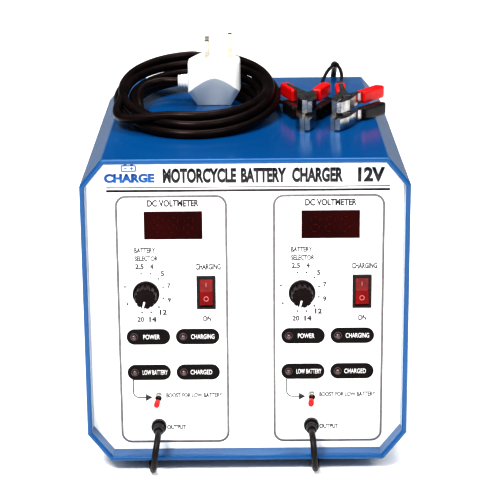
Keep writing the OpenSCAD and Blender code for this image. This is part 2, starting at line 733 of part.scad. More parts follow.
// Core routes: out of the split, along the top, into the end of a grip
RED_ROUTE_LEFT = [[27, 106, 286], [31, 90, 286], [33, 72, 289], [35, 55, 295], [36, 43, 300]];
BLACK_ROUTE_LEFT = [[19, 104, 285.5], [17, 88, 284.9], [19, 70, 284.9], [25, 52, 285], [32, 36, 287], [37, 23, 288.7]];
RED_ROUTE_RIGHT = [[97, 150, 297], [98, 132, 293], [96, 112, 291], [93, 90, 294], [91, 70, 298], [90, 50, 301]];
BLACK_ROUTE_RIGHT = [[85, 150, 295], [80, 134, 290], [77, 114, 286], [76, 92, 284.8], [78, 70, 284.8], [83, 50, 286],
  [89, 32, 288]];
function core_route(c, k, list) = concat([split_end(c[1], k)], tied(list),
  [grip_tip(c) + 6 * grip_dir(c), grip_tip(c)]);

module at_clip(c) {
  translate([c[2][0], c[2][1], top_z + c[4]]) rotate(c[3] - 90) children();
}

// Flat outline of one clip half: jaw, ear around the pin, handle strip
function half_outline() = [[-0.2, -jaw_l], [-4.5, 1 - jaw_l], [-8.6, -jaw_l * 0.55], [-8.8, 4],
  handle_root + [-2.6, 2], handle_end + [-2.2, 0.8], handle_end + [1.6, 2.4], handle_root + [3.4, 4.4],
  [0, 6], [5, 3], [5, -4], [-0.2, -9]];

// A half is a folded channel: a web on its outer side and two cheeks
module clip_channel(half_t, cheek) {
  jaw_in = jaw_l - 2;
  difference() {
    translate([0, 0, -half_t]) linear_extrude(2 * half_t) polygon(half_outline());
    translate([0, 0, cheek - half_t]) linear_extrude(2 * (half_t - cheek))
      polygon([[2, -jaw_in], [-3.4, 2 - jaw_in], [-7.4, -jaw_l * 0.55], [-7.6, 4.4], handle_root + [-1.4, 2.4],
        handle_end + [-1, 6], handle_end + [12, 8], [12, 6], [12, -jaw_in]]);
  }
}

module clip_grip() {
  translate([handle_root[0], handle_root[1], -grip_t / 2])
    rotate(atan2(handle_way[1], handle_way[0])) translate([grip_start, 0, 0])
      linear_extrude(grip_t) polygon([[0, -grip_w / 2 + 1], [1, -grip_w / 2], [grip_l - 3, -grip_w / 2],
        [grip_l, -grip_w / 2 + 2.4], [grip_l, grip_w / 2 - 2.4], [grip_l - 3, grip_w / 2], [1, grip_w / 2],
        [0, grip_w / 2 - 1]]);
}

function vinyl(c) = c[0] == "red" ? [0.78, 0.05, 0.05] : [0.05, 0.05, 0.05];

// Fixed half: the wider channel, with the pin through it
module clip_body(c) {
  at_clip(c) {
    color([0.75, 0.75, 0.77]) clip_channel(clip_t / 2, 0.9);
    color([0.75, 0.75, 0.77]) translate([0, 0, -clip_t / 2]) cylinder(r = pin_r, h = clip_t);
    color(vinyl(c)) clip_grip();
  }
}

// Moving half: the narrower channel, mirrored, bored for the pin
module clip_jaw(c) {
  nest = 0.25;
  at_clip(c) mirror([1, 0, 0]) {
    color([0.75, 0.75, 0.77]) difference() {
      clip_channel(clip_t / 2 - 0.9 - nest, 0.9);
      translate([0, 0, -clip_t]) cylinder(r = pin_r + pin_gap, h = 2 * clip_t);
    }
    color(vinyl(c)) clip_grip();
  }
}

top_cover();
base_pan();
front_frame();
front_panel();
rear_panel();
rubber_foot(LEFT, -1);  // rubber_foot_front_left
rubber_foot(RIGHT, -1);  // rubber_foot_front_right
rubber_foot(LEFT, 1);  // rubber_foot_rear_left
rubber_foot(RIGHT, 1);  // rubber_foot_rear_right
case_screws();
display_window(LEFT);  // display_window_left
display_window(RIGHT);  // display_window_right
display_boards();
selector_switch(LEFT);  // selector_switch_left
selector_switch(RIGHT);  // selector_switch_right
selector_knob(LEFT);  // selector_knob_left
selector_knob(RIGHT);  // selector_knob_right
rocker_housing(LEFT);  // rocker_housing_left
rocker_housing(RIGHT);  // rocker_housing_right
rocker(LEFT);  // rocker_left
rocker(RIGHT);  // rocker_right
boost_switch(LEFT);  // boost_switch_left
boost_switch(RIGHT);  // boost_switch_right
boost_lever(LEFT);  // boost_lever_left
boost_lever(RIGHT);  // boost_lever_right
lamp_plates(LEFT);  // lamp_plates_left
lamp_plates(RIGHT);  // lamp_plates_right
lamp_domes(LEFT);  // lamp_domes_left
lamp_domes(RIGHT);  // lamp_domes_right
output_gland(LEFT);  // output_gland_left
output_gland(RIGHT);  // output_gland_right
mains_gland();
fuse_holder();
fuse_cap();
transformer_core(LEFT);  // transformer_core_left
transformer_core(RIGHT);  // transformer_core_right
transformer_winding(LEFT);  // transformer_winding_left
transformer_winding(RIGHT);  // transformer_winding_right
charger_board();
color([0.06, 0.05, 0.05]) tube(tied(MAINS_ROUTE), mains_r, 10);  // mains_cord
mains_coil();
color([0.06, 0.05, 0.05]) tube(tied(PLUG_ROUTE), mains_r, 10);  // plug_cord
mains_plug();
plug_pins();
color([0.05, 0.05, 0.05]) tube(tied(LEAD_ROUTE_LEFT), lead_r, 8);  // output_lead_left
color([0.05, 0.05, 0.05]) tube(tied(LEAD_ROUTE_RIGHT), lead_r, 8);  // output_lead_right
lead_split(LEFT);  // lead_split_left
lead_split(RIGHT);  // lead_split_right
color([0.05, 0.05, 0.05])  // red_core_left
  tube(core_route(RED_LEFT, -1, RED_ROUTE_LEFT), core_r, 8);
color([0.05, 0.05, 0.05])  // red_core_right
  tube(core_route(RED_RIGHT, -1, RED_ROUTE_RIGHT), core_r, 8);
color([0.05, 0.05, 0.05])  // black_core_left
  tube(core_route(BLACK_LEFT, 1, BLACK_ROUTE_LEFT), core_r, 8);
color([0.05, 0.05, 0.05])  // black_core_right
  tube(core_route(BLACK_RIGHT, 1, BLACK_ROUTE_RIGHT), core_r, 8);
clip_body(RED_LEFT);  // red_clip_body_left
clip_body(RED_RIGHT);  // red_clip_body_right
clip_body(BLACK_LEFT);  // black_clip_body_left
clip_body(BLACK_RIGHT);  // black_clip_body_right
clip_jaw(RED_LEFT);  // red_clip_jaw_left
clip_jaw(RED_RIGHT);  // red_clip_jaw_right
clip_jaw(BLACK_LEFT);  // black_clip_jaw_left
clip_jaw(BLACK_RIGHT);  // black_clip_jaw_right
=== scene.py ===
import math

import bmesh
import bpy
import numpy as np
from mathutils import Matrix, Vector


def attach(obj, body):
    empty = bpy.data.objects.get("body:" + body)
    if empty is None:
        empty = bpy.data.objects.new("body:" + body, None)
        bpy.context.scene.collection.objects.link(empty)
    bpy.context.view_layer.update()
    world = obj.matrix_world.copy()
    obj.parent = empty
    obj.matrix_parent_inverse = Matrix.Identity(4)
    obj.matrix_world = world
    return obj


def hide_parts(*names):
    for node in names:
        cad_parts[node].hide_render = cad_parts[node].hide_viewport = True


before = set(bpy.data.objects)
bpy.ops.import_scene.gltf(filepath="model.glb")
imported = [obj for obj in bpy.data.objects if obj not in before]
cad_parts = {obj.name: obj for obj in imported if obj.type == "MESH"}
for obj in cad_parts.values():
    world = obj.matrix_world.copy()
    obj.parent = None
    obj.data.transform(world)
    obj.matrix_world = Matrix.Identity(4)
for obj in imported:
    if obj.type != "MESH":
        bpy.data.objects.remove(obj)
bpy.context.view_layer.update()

scene = bpy.context.scene


# The camera stands about 1.6 m in front of the case and a little above it, and looks down
# on the panel and the top. It is a long lens, so the sides hardly converge.
pitch, yaw, roll = math.radians(16.5585), math.radians(0.12975), math.radians(-0.4175)
ahead = Vector((math.sin(yaw) * math.cos(pitch), math.cos(yaw) * math.cos(pitch),
                -math.sin(pitch)))
level = Vector((math.cos(yaw), -math.sin(yaw), 0))
above = level.cross(ahead)
across = level * math.cos(roll) + above * math.sin(roll)
upward = above * math.cos(roll) - level * math.sin(roll)
CAMERA_X, CAMERA_Y, CAMERA_Z = 0.0005, -1.6057, 0.6275
lens = bpy.data.cameras.new("camera")
lens.lens, lens.sensor_width, lens.clip_end = 126.0, 36, 20
camera = bpy.data.objects.new("camera", lens)
camera.matrix_world = Matrix(((across.x, upward.x, -ahead.x, CAMERA_X),
                              (across.y, upward.y, -ahead.y, CAMERA_Y),
                              (across.z, upward.z, -ahead.z, CAMERA_Z), (0, 0, 0, 1)))
scene.collection.objects.link(camera)
scene.camera = camera


# The mains lead: round black PVC sheath, 8.2 mm thick. It hangs in a bight behind the case, comes over
# the rear edge and lies in an oval coil, whose turns lie in six places across the bundle and move one
# place on behind the plug. Sizes of the object's own pieces are in millimetres.
MM = 0.001
TOP = 283.0
MAINS_R = 4.1


def drawn_line(points, step):
    """A smooth line through chosen points. Between two of them it is the cubic whose slope at each
    end is the mean of the runs on both sides, weighted by the other run's length. It is worked out
    at sixteen places a run and then cut again into equal steps."""
    p = np.array(points, float)
    run = np.linalg.norm(np.diff(p, axis=0), axis=1)[:, None]
    slope = np.diff(p, axis=0) / run
    between = (run[1:] * slope[:-1] + run[:-1] * slope[1:]) / (run[1:] + run[:-1])
    m = np.vstack([slope[:1], between, slope[-1:]])
    t = np.linspace(0, 1, 16, endpoint=False)[None, :, None]
    a, b, h = p[:-1, None], p[1:, None], run[:, None]
    fine = ((2 * t**3 - 3 * t**2 + 1) * a + (t**3 - 2 * t**2 + t) * h * m[:-1, None]
            + (3 * t**2 - 2 * t**3) * b + (t**3 - t**2) * h * m[1:, None]).reshape(-1, 3)
    fine = np.vstack([fine, p[-1:]])
    along = np.concatenate([[0], np.cumsum(np.linalg.norm(np.diff(fine, axis=0), axis=1))])
    at = np.linspace(0, along[-1], math.ceil(along[-1] / step) + 1)
    return np.stack([np.interp(at, along, fine[:, k]) for k in range(3)], axis=1)


def round_rings(line, radius, sides):
    """Rings of a round cord: at each point of the line a circle square to it, the middle plus radius
    times cosine and sine of the angle along two sides. The first side starts square to a slanting
    way that no cord sets off along, and is carried from ring to ring, so the sheath doesn't twist."""
    t = np.gradient(line, axis=0)
    t /= np.linalg.norm(t, axis=1)[:, None]
    n = np.zeros_like(t)
    side = np.cross(t[0], [0.3, 0.2, 1.0])
    for i, way in enumerate(t):
        side = side - (side @ way) * way
        side /= np.linalg.norm(side)
        n[i] = side
    b = np.cross(t, n)
    a = np.linspace(0, 2 * np.pi, sides, endpoint=False)[None, :, None]
    r = np.broadcast_to(radius, len(line))[:, None, None]
    return line[:, None] + r * (np.cos(a) * n[:, None] + np.sin(a) * b[:, None])


def skin_over(rings):
    """Points and faces of a closed skin: ring i joins ring i + 1 by four-sided faces, and each end
    ring closes on its own middle point."""
    n, m = rings.shape[:2]
    first = np.arange(n - 1)[:, None] * m + np.arange(m)
    after = np.arange(n - 1)[:, None] * m + (np.arange(m) + 1) % m
    quads = np.stack([first, after, after + m, first + m], -1).reshape(-1, 4)
    ring, nxt = np.arange(m), (np.arange(m) + 1) % m
    start = np.stack([nxt, ring, np.full(m, n * m)], -1)
    end = np.stack([ring + (n - 1) * m, nxt + (n - 1) * m, np.full(m, n * m + 1)], -1)
    points = np.vstack([rings.reshape(-1, 3), rings[0].mean(0)[None], rings[-1].mean(0)[None]])
    return points, quads.tolist() + start.tolist() + end.tolist()


def add_piece(name, skins, body, finish, smooth=40):
    """One piece from one or more skins, each a pair of points in millimetres and faces. Faces are
    turned outwards, and edges sharper than the smooth angle stay crisp."""
    points, faces, at = [], [], 0
    for p, f in skins:
        points.append(np.asarray(p, float))
        faces += [[i + at for i in face] for face in f]
        at += len(p)
    mesh = bpy.data.meshes.new(name)
    mesh.from_pydata((np.vstack(points) * MM).tolist(), [], faces)
    work = bmesh.new()
    work.from_mesh(mesh)
    bmesh.ops.recalc_face_normals(work, faces=work.faces)
    work.to_mesh(mesh)
    work.free()
    mesh.shade_smooth()
    mesh.set_sharp_from_angle(angle=math.radians(smooth))
    mesh.materials.append(finish)
    piece = bpy.data.objects.new(name, mesh)
    scene.collection.objects.link(piece)
    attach(piece, body)
    return piece


def surface(name, dark, light, patch, rough, grain, depth, **settings):
    """A finish: colour wanders between dark and light in patches of that many per metre, roughness
    wanders between its two values, and a finer grain of that many per metre stands up by depth
    metres. Other settings go to the shader's sockets as they are named."""
    made = bpy.data.materials.new(name)
    made.use_nodes = True
    nodes, links = made.node_tree.nodes, made.node_tree.links
    shader = nodes["Principled BSDF"]
    place = nodes.new("ShaderNodeTexCoord")
    broad = nodes.new("ShaderNodeTexNoise")
    broad.inputs["Scale"].default_value, broad.inputs["Detail"].default_value = patch, 4
    tint = nodes.new("ShaderNodeValToRGB")
    tint.color_ramp.elements[0].position, tint.color_ramp.elements[1].position = 0.3, 0.7
    tint.color_ramp.elements[0].color, tint.color_ramp.elements[1].color = (*dark, 1), (*light, 1)
    fine = nodes.new("ShaderNodeTexNoise")
    fine.inputs["Scale"].default_value, fine.inputs["Detail"].default_value = grain, 3
    spread = nodes.new("ShaderNodeMapRange")
    spread.inputs["To Min"].default_value, spread.inputs["To Max"].default_value = rough
    bump = nodes.new("ShaderNodeBump")
    bump.inputs["Distance"].default_value, bump.inputs["Strength"].default_value = depth, 1
    for noise in (broad, fine):
        links.new(place.outputs["Object"], noise.inputs["Vector"])
    links.new(broad.outputs["Fac"], tint.inputs["Fac"])
    links.new(tint.outputs["Color"], shader.inputs["Base Color"])
    links.new(fine.outputs["Fac"], spread.inputs["Value"])
    links.new(spread.outputs["Result"], shader.inputs["Roughness"])
    links.new(fine.outputs["Fac"], bump.inputs["Height"])
    links.new(bump.outputs["Normal"], shader.inputs["Normal"])
    for socket, value in settings.items():
        shader.inputs[socket.replace("_", " ")].default_value = value
    return made


pvc_sheath = surface("pvc_sheath", (0.002, 0.0012, 0.0012), (0.007, 0.0035, 0.0035),
                     60, (0.28, 0.4), 700, 0.00006,
                     Specular_IOR_Level=0.13, Specular_Tint=(1.0, 0.72, 0.66, 1))

MAINS_ROUTE = [[-70, 188, 80], [-70, 200, 79], [-71, 214, 75], [-74, 226, 66], [-79, 232, 53],
               [-87, 230, 41], [-97, 224, 34], [-108, 216, 36], [-116, 209, 46], [-119, 204, 62],
               [-119, 199, 100], [-118, 196, 150], [-117, 194, 200], [-115, 193, 240],
               [-112, 193, 262], [-109, 191, 276], [-103, 186, 287], [-93, 177, 293],
               [-78, 165, 296], [-62, 153, 297], [-46, 140, 297], [-30, 127, 298], [-16, 117, 300],
               [-3, 106, 301]]
PLUG_ROUTE = [[-98.5, 0, 296], [-99.5, 15, 298], [-98, 30, 301], [-92, 42, 303.5], [-82, 48, 304.9],
              [-63.4, 48, 305.1], [-56, 48, 305.1]]
COIL_MIDDLE, COIL_HALVES = (-44.5, 10), (63.5, 104)
# Places of the turns across the bundle: outwards from its middle line, and height of the middle
FRONT_PLACES = np.array([[8.7, 4.2], [4.5, 11.4], [0.2, 18.6], [-4, 11.4], [0.3, 4.2], [-8.2, 4.2]])
REAR_PLACES = np.array([[13.5, 25], [8, 34], [2.7, 26.4], [-2.6, 19], [-8, 11.6], [-13, 4.2]])
# In degrees turned since the rear right: where a turn starts to move one place on and how long that
# takes, and where one turn has slipped, over how much of it, and how far outwards and down
COIL_START, MOVE_AT, MOVE_LONG = 60, 338, 30
SLIP_AT, SLIP_LONG, SLIP_OUT, SLIP_DOWN = 922, 21, 20, 8
WAVER = 0.6
turned = np.arange(10, 2016, 5.0)
bearing = np.radians(COIL_START - turned)
shift = np.clip((turned[:, None] - (MOVE_AT + 360 * np.arange(5))) / MOVE_LONG + 0.5, 0, 1)
moves = (0.5 - 0.5 * np.cos(np.pi * shift)).sum(1)
rear = (0.5 + 0.5 * np.sin(bearing))[:, None]
places = np.stack([np.stack([np.interp(moves, range(6), table[:, k]) for k in (0, 1)], 1)
                   for table in (FRONT_PLACES, REAR_PLACES)])
lie = places[0] * (1 - rear) + places[1] * rear
slipped = np.exp(-((turned - SLIP_AT) / SLIP_LONG) ** 2)
outwards = lie[:, 0] + SLIP_OUT * slipped + WAVER * np.sin(np.radians(turned) * 2.3 + 1)
coil_line = np.stack([COIL_MIDDLE[0] + (COIL_HALVES[0] + outwards) * np.cos(bearing),
                      COIL_MIDDLE[1] + (COIL_HALVES[1] + outwards) * np.sin(bearing),
                      TOP + lie[:, 1] - SLIP_DOWN * slipped], 1)
mains_line = drawn_line(np.vstack([MAINS_ROUTE, coil_line, PLUG_ROUTE]), 2.6)
mains_lead = add_piece("mains_lead", [skin_over(round_rings(mains_line, MAINS_R, 14))], "case",
                       pvc_sheath, 60)
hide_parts("mains_cord", "mains_coil", "plug_cord")


# The plug: a white moulded cover that narrows towards the back, with a bevelled grip facet below and in
# front, a ribbed sleeve around the lead and three flat plated pins on top.
PLUG_MIDDLE = np.array([-28.5, 48.0])
PLUG_HALF, PLUG_H = 25, 45.0
CREASE_TOP, CREASE_FALL = 29, 14
FOOT_W, FOOT_D, FOOT_BACK = 0.64, 0.86, 13
plug_white = surface("plug_white", (0.60, 0.61, 0.60), (0.68, 0.68, 0.67),
                     40, (0.26, 0.38), 900, 0.00003,
                     Specular_IOR_Level=0.35)


def rounded_outline(corners, radius, per_corner):
    """A closed outline of 180 even steps. Each corner is the quadratic curve that starts radius
    before the corner and ends radius behind it."""
    c = np.array(corners, float)
    to_last, to_next = np.roll(c, 1, 0) - c, np.roll(c, -1, 0) - c
    a = c + radius * to_last / np.linalg.norm(to_last, axis=1)[:, None]
    b = c + radius * to_next / np.linalg.norm(to_next, axis=1)[:, None]
    t = np.linspace(0, 1, per_corner)[None, :, None]
    bent = (1 - t) ** 2 * a[:, None] + 2 * t * (1 - t) * c[:, None] + t ** 2 * b[:, None]
    bent = bent.reshape(-1, 2)
    bent = np.vstack([bent, bent[:1]])
    along = np.concatenate([[0], np.cumsum(np.linalg.norm(np.diff(bent, axis=0), axis=1))])
    at = np.linspace(0, along[-1], 181)[:-1]
    return np.stack([np.interp(at, along, bent[:, 0]), np.interp(at, along, bent[:, 1])], 1)


outline = rounded_outline([(-21, -25), (20, -25), (24, -21), (25, 1), (18, 19), (13, 25), (-12, 25),
                           (-16, 21), (-25, -7), (-25, -21)], 1.9, 7)
# The facet ends in a crease that is highest at the middle. The foot stands back from it, most in front.
crease = CREASE_TOP - CREASE_FALL * np.abs(outline[:, 0] / PLUG_HALF) ** 1.6
forward = np.clip(-outline[:, 1] / PLUG_HALF, 0, 1) ** 2
foot = np.stack([outline[:, 0] * FOOT_W, outline[:, 1] * FOOT_D + FOOT_BACK * forward], 1)
plug_rings = []
for share in (0.0, 0.015, 0.25, 0.5, 0.75, 0.97):
    flat = (1 - share) * foot + share * outline
    flat = flat * (0.965 if share == 0 else 1)
    plug_rings.append(np.column_stack([flat, 0.1 + share * crease]))
for share in (0.0, 0.04, 0.2, 0.4, 0.6, 0.8, 0.93, 0.975, 0.995, 1.0):
    flat = outline * (1 - 5 * max(0, share - 0.9) ** 2)
    plug_rings.append(np.column_stack([flat, crease + 0.4 + share * (PLUG_H - crease - 0.3)]))
plug_rings = np.array(plug_rings) + [*PLUG_MIDDLE, TOP]
plug_body = add_piece("plug_body", [skin_over(plug_rings)], "case", plug_white, 14)
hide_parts("mains_plug")
# The sleeve widens towards the plug, and its ribs stand up where a wave along it is high.
SLEEVE_START, SLEEVE_END, SLEEVE_H, SLEEVE_R, RIB = -63.5, -48, 22.1, 5.7, 0.45
sleeve_x = np.linspace(SLEEVE_START, SLEEVE_END, 47)
sleeve_in = sleeve_x - SLEEVE_START
sleeve_line = np.stack([sleeve_x, np.full_like(sleeve_x, PLUG_MIDDLE[1]),
                        np.full_like(sleeve_x, TOP + SLEEVE_H)], 1)
sleeve_r = SLEEVE_R + sleeve_in * 0.13 + RIB * (np.sin(sleeve_in * 2.2) > 0.2)
plug_sleeve = add_piece("plug_sleeve", [skin_over(round_rings(sleeve_line, sleeve_r, 32))], "case",
                        plug_white, 50)


def recoat(finish, *nodes):
    """Gives the named nodes of the frame a finish, in every material slot that they have."""
    for node in nodes:
        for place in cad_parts[node].material_slots:
            place.material = finish


plated_pins = surface("plated_pins", (0.55, 0.50, 0.42), (0.75, 0.70, 0.60),
                      150, (0.16, 0.3), 600, 0.00002,
                      Metallic=1.0)
recoat(plated_pins, "plug_pins")


# The two output leads: round black twin cable, 5.6 mm thick. Each drops out of its gland over the lower
# rim, runs back under the case, comes up behind it and over the rear edge, and ends in a moulded split.
LEAD_R = 2.8
LEAD_ROUTES = {
    "left": [[-78, -176, 36.5], [-78, -183, 36], [-78.5, -190, 33], [-79.5, -195, 27],
             [-80.5, -197, 20], [-81.5, -195, 12], [-82.5, -190, 6.5], [-83.5, -182, 3.6],
             [-84.5, -170, 3], [-85, -140, 3], [-82, -100, 3], [-75, -50, 3], [-65, 0, 3], [-52, 50, 3],
             [-38, 100, 3], [-26, 150, 3], [-20, 180, 3], [-17, 194, 4.5], [-15, 204, 10],
             [-14, 208, 20], [-13, 206, 50], [-12, 200, 100], [-10, 195, 160], [-8, 191, 220],
             [-6, 189, 256], [-5, 188, 274], [-3, 184, 288], [0, 174, 294], [5, 161, 293],
             [11, 146, 290], [17, 131, 288]],
    "right": [[57, -176, 36.5], [57, -183, 36], [57.5, -190, 33], [58, -195, 27], [58.5, -197, 20],
              [59, -195, 12], [59.5, -190, 6.5], [60, -182, 3.6], [61, -170, 3], [62, -140, 3],
              [64, -100, 3], [66, -50, 3], [68, 0, 3], [71, 50, 3], [74, 100, 3], [78, 150, 3],
              [81, 180, 3], [83, 194, 4.5], [84, 204, 10], [85, 208, 20], [86, 206, 50],
              [87, 200, 100], [89, 196, 160], [90, 193, 220], [91, 191, 256], [92, 190, 275],
              [93, 186, 288], [93, 177, 296]]}
SPLIT_WAYS = {"left": np.array([6.0, -13, -1]), "right": np.array([0.0, -13, 2])}
SPLIT_L = 13
CORE_R = 1.7
rubber_cable = surface("rubber_cable", (0.004, 0.003, 0.003), (0.010, 0.007, 0.007),
                       80, (0.35, 0.5), 900, 0.00006,
                       Specular_IOR_Level=0.18)
split_rubber = surface("split_rubber", (0.004, 0.003, 0.003), (0.010, 0.008, 0.008),
                       120, (0.4, 0.55), 1400, 0.00008,
                       Specular_IOR_Level=0.18)
split_ends = {}
for side, route in LEAD_ROUTES.items():
    way = SPLIT_WAYS[side] / np.linalg.norm(SPLIT_WAYS[side])
    beside = np.cross(way, [0, 0, 1.0])
    beside /= np.linalg.norm(beside)
    start = np.array(route[-1], float)
    split_ends[side] = {k: start + SPLIT_L * way + k * (CORE_R + 0.2) * beside for k in (-1, 1)}
    line = drawn_line(route, 2.5)
    lead = add_piece("output_cable_" + side, [skin_over(round_rings(line, LEAD_R, 12))], "case",
                     rubber_cable, 60)
    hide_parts("output_lead_" + side)
    # the split: round where it grips the lead, flat and wide where the two cores leave it
    go = np.array([-4, -3.4, 0, 2, 5, 9, 12.4, 13])
    wide = np.array([3.0, 3.4, 3.6, 3.8, 4.2, 4.5, 4.4, 4.0])
    thick = np.array([3.0, 3.4, 3.6, 3.5, 3.1, 2.6, 2.4, 2.1])
    a = np.linspace(0, 2 * np.pi, 28, endpoint=False)[None, :, None]
    over = np.cross(beside, way)
    rings = (start + go[:, None] * way)[:, None] + wide[:, None, None] * np.cos(a) * beside \
        + thick[:, None, None] * np.sin(a) * over
    split = add_piece("cable_split_" + side, [skin_over(rings)], "case", split_rubber, 50)
    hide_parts("lead_split_" + side)


# The four cores: thin black insulated wires from each split to the end of a clip's grip. The vinyl grips
# are dipped sleeves, red for plus and black for minus, pushed over the steel handles.
CLIP_T = 12
LOWER, UPPER = CLIP_T / 2, CLIP_T * 1.5 + 0.3
# Each clip's pin, the way that its jaws point in degrees, and the height of its middle over the top
CLIPS = {("black", "left"): ((56, -44), 86, LOWER), ("red", "left"): ((57, -24), 89, UPPER),
         ("black", "right"): ((92, -46), 70, LOWER), ("red", "right"): ((93, -30), 72, UPPER)}
CORE_ROUTES = {
    ("red", "left"): [[27, 106, 286], [31, 90, 286], [33, 72, 289], [35, 55, 295], [36, 43, 300]],
    ("black", "left"): [[19, 104, 285.5], [17, 88, 284.9], [19, 70, 284.9], [25, 52, 285],
                        [32, 36, 287], [37, 23, 288.7]],
    ("red", "right"): [[97, 150, 297], [98, 132, 293], [96, 112, 291], [93, 90, 294], [91, 70, 298],
                       [90, 50, 301]],
    ("black", "right"): [[85, 150, 295], [80, 134, 290], [77, 114, 286], [76, 92, 284.8],
                         [78, 70, 284.8], [83, 50, 286], [89, 32, 288]]}
HANDLE_ROOT, HANDLE_END = np.array([-6.0, 8.0]), np.array([-17.5, 45.0])
HANDLE_WAY = (HANDLE_END - HANDLE_ROOT) / np.linalg.norm(HANDLE_END - HANDLE_ROOT)
GRIP_START, GRIP_L, GRIP_HALF_W, GRIP_HALF_T = 12, 33, 4.8, 5.85
core_sheath = surface("core_sheath", (0.004, 0.003, 0.003), (0.010, 0.007, 0.007),
                      90, (0.3, 0.42), 1200, 0.00003,
                      Specular_IOR_Level=0.18)
grip_finishes = {
    "red": surface("red_vinyl", (0.38, 0.002, 0.003), (0.52, 0.004, 0.005),
                   90, (0.3, 0.44), 700, 0.00006,
                   Specular_IOR_Level=0.25),
    "black": surface("black_vinyl", (0.004, 0.003, 0.003), (0.010, 0.008, 0.008),
                     90, (0.3, 0.45), 700, 0.00006,
                     Specular_IOR_Level=0.18)}


def in_clip(clip, points):
    """Turns points given in a clip's own axes about its pin, by the clip's turn less a quarter, and
    moves them to where the clip lies."""
    middle, turn, height = CLIPS[clip]
    a = math.radians(turn - 90)
    p = np.asarray(points, float)
    return np.stack([middle[0] + p[..., 0] * math.cos(a) - p[..., 1] * math.sin(a),
                     middle[1] + p[..., 0] * math.sin(a) + p[..., 1] * math.cos(a),
                     TOP + height + p[..., 2]], -1)


def grip_rings(hand):
    """Rings of a vinyl sleeve along a handle: boxes with round corners, where the eighth powers of the
    two places over the half sizes add up to one. They start at the open mouth, hold their size along
    the grip and close in at the end. hand is 1 for the fixed half and -1 for the moving one."""
    go = np.array([-0.6, -0.2, 0.6, 2, 4, 10, 18, 26, 30, 32.2, 33.3, 33.8]) + GRIP_START
    size = np.array([0.90, 0.96, 0.985, 0.99, 0.99, 0.99, 1.0, 1.02, 1.01, 0.99, 0.92, 0.72])
    a = np.linspace(0, 2 * np.pi, 36, endpoint=False)
    box = (np.abs(np.cos(a) / GRIP_HALF_W) ** 8 + np.abs(np.sin(a) / GRIP_HALF_T) ** 8) ** (-1 / 8)
    aside = np.array([-HANDLE_WAY[1], HANDLE_WAY[0]])
    flat = HANDLE_ROOT + go[:, None] * HANDLE_WAY
    ring = flat[:, None] + (size[:, None] * (box * np.cos(a))[None])[..., None] * aside
    return np.concatenate([ring * [hand, 1], (size[:, None] * (box * np.sin(a))[None])[..., None]], 2)


for (colour, side), route in CORE_ROUTES.items():
    clip = (colour, side)
    ends = in_clip(clip, [[*(HANDLE_ROOT + s * HANDLE_WAY), 0]
                          for s in (GRIP_START + GRIP_L, GRIP_START + GRIP_L - 6)])
    out_way = (ends[0] - ends[1]) / 6
    exit_point = split_ends[side][-1 if colour == "red" else 1]
    line = drawn_line(np.vstack([exit_point, route, ends[0] + 6 * out_way, ends[0] - 4 * out_way]), 1.6)
    core = add_piece(f"{colour}_core_wire_{side}", [skin_over(round_rings(line, CORE_R, 10))],
                     "case", core_sheath, 60)
    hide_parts(f"{colour}_core_{side}")
    for hand, part in ((1, "body"), (-1, "jaw")):
        node = f"{colour}_clip_{part}_{side}"
        body = "case" if part == "body" else node
        skin = skin_over(in_clip(clip, grip_rings(hand)))
        add_piece(f"{colour}_grip_{part}_{side}", [skin], body, grip_finishes[colour],
                                50)


# The studio, in metres: a white floor that fills the view, three large soft lamps and a plain card
# beyond the case. The card and the lamps are only seen in the enamel and the metal.
def card(name, corners, finish):
    """A flat sheet through four corners that belongs to the stage and not to the object."""
    mesh = bpy.data.meshes.new(name)
    mesh.from_pydata(corners, [], [[0, 1, 2, 3]])
    mesh.materials.append(finish)
    made = bpy.data.objects.new(name, mesh)
    scene.collection.objects.link(made)
    return made


floor_white = surface("floor_white", (0.93, 0.93, 0.93), (0.95, 0.95, 0.95), 2, (0.75, 0.85), 60, 0.0)
card("floor", [(-9, -9, 0), (9, -9, 0), (9, 9, 0), (-9, 9, 0)], floor_white)
glow = bpy.data.materials.new("card_glow")
glow.use_nodes = True
glow_sockets = glow.node_tree.nodes["Principled BSDF"].inputs
glow_sockets["Base Color"].default_value = (0, 0, 0, 1)
glow_sockets["Emission Color"].default_value = (1, 1, 1, 1)
glow_sockets["Emission Strength"].default_value = 0.26
back_card = card("back_card", [(-1.6, 1.2, 0.0), (1.6, 1.2, 0.0), (1.6, 1.2, 0.50), (-1.6, 1.2, 0.50)],
                 glow)
back_card.visible_camera = False
back_card.visible_shadow = False

# The room's light falls off from above and in front towards the floor behind.
world = bpy.data.worlds.new("studio")
scene.world = world
world.use_nodes = True
sky = world.node_tree.nodes
aim = sky.new("ShaderNodeTexCoord")
parts = sky.new("ShaderNodeSeparateXYZ")
shade = sky.new("ShaderNodeValToRGB")
dim, bright = shade.color_ramp.elements
dim.position, dim.color = 0.08, (0.02, 0.022, 0.026, 1)
bright.position, bright.color = 0.62, (1.0, 1.0, 1.0, 1)
tilted = sky.new("ShaderNodeMath")
tilted.operation = "MULTIPLY_ADD"
tilted.inputs[1].default_value = -0.5
world.node_tree.links.new(aim.outputs["Generated"], parts.inputs["Vector"])
world.node_tree.links.new(parts.outputs["Y"], tilted.inputs[0])
world.node_tree.links.new(parts.outputs["Z"], tilted.inputs[2])
world.node_tree.links.new(tilted.outputs["Value"], shade.inputs["Fac"])
world.node_tree.links.new(shade.outputs["Color"], sky["Background"].inputs["Color"])
sky["Background"].inputs["Strength"].default_value = 0.72

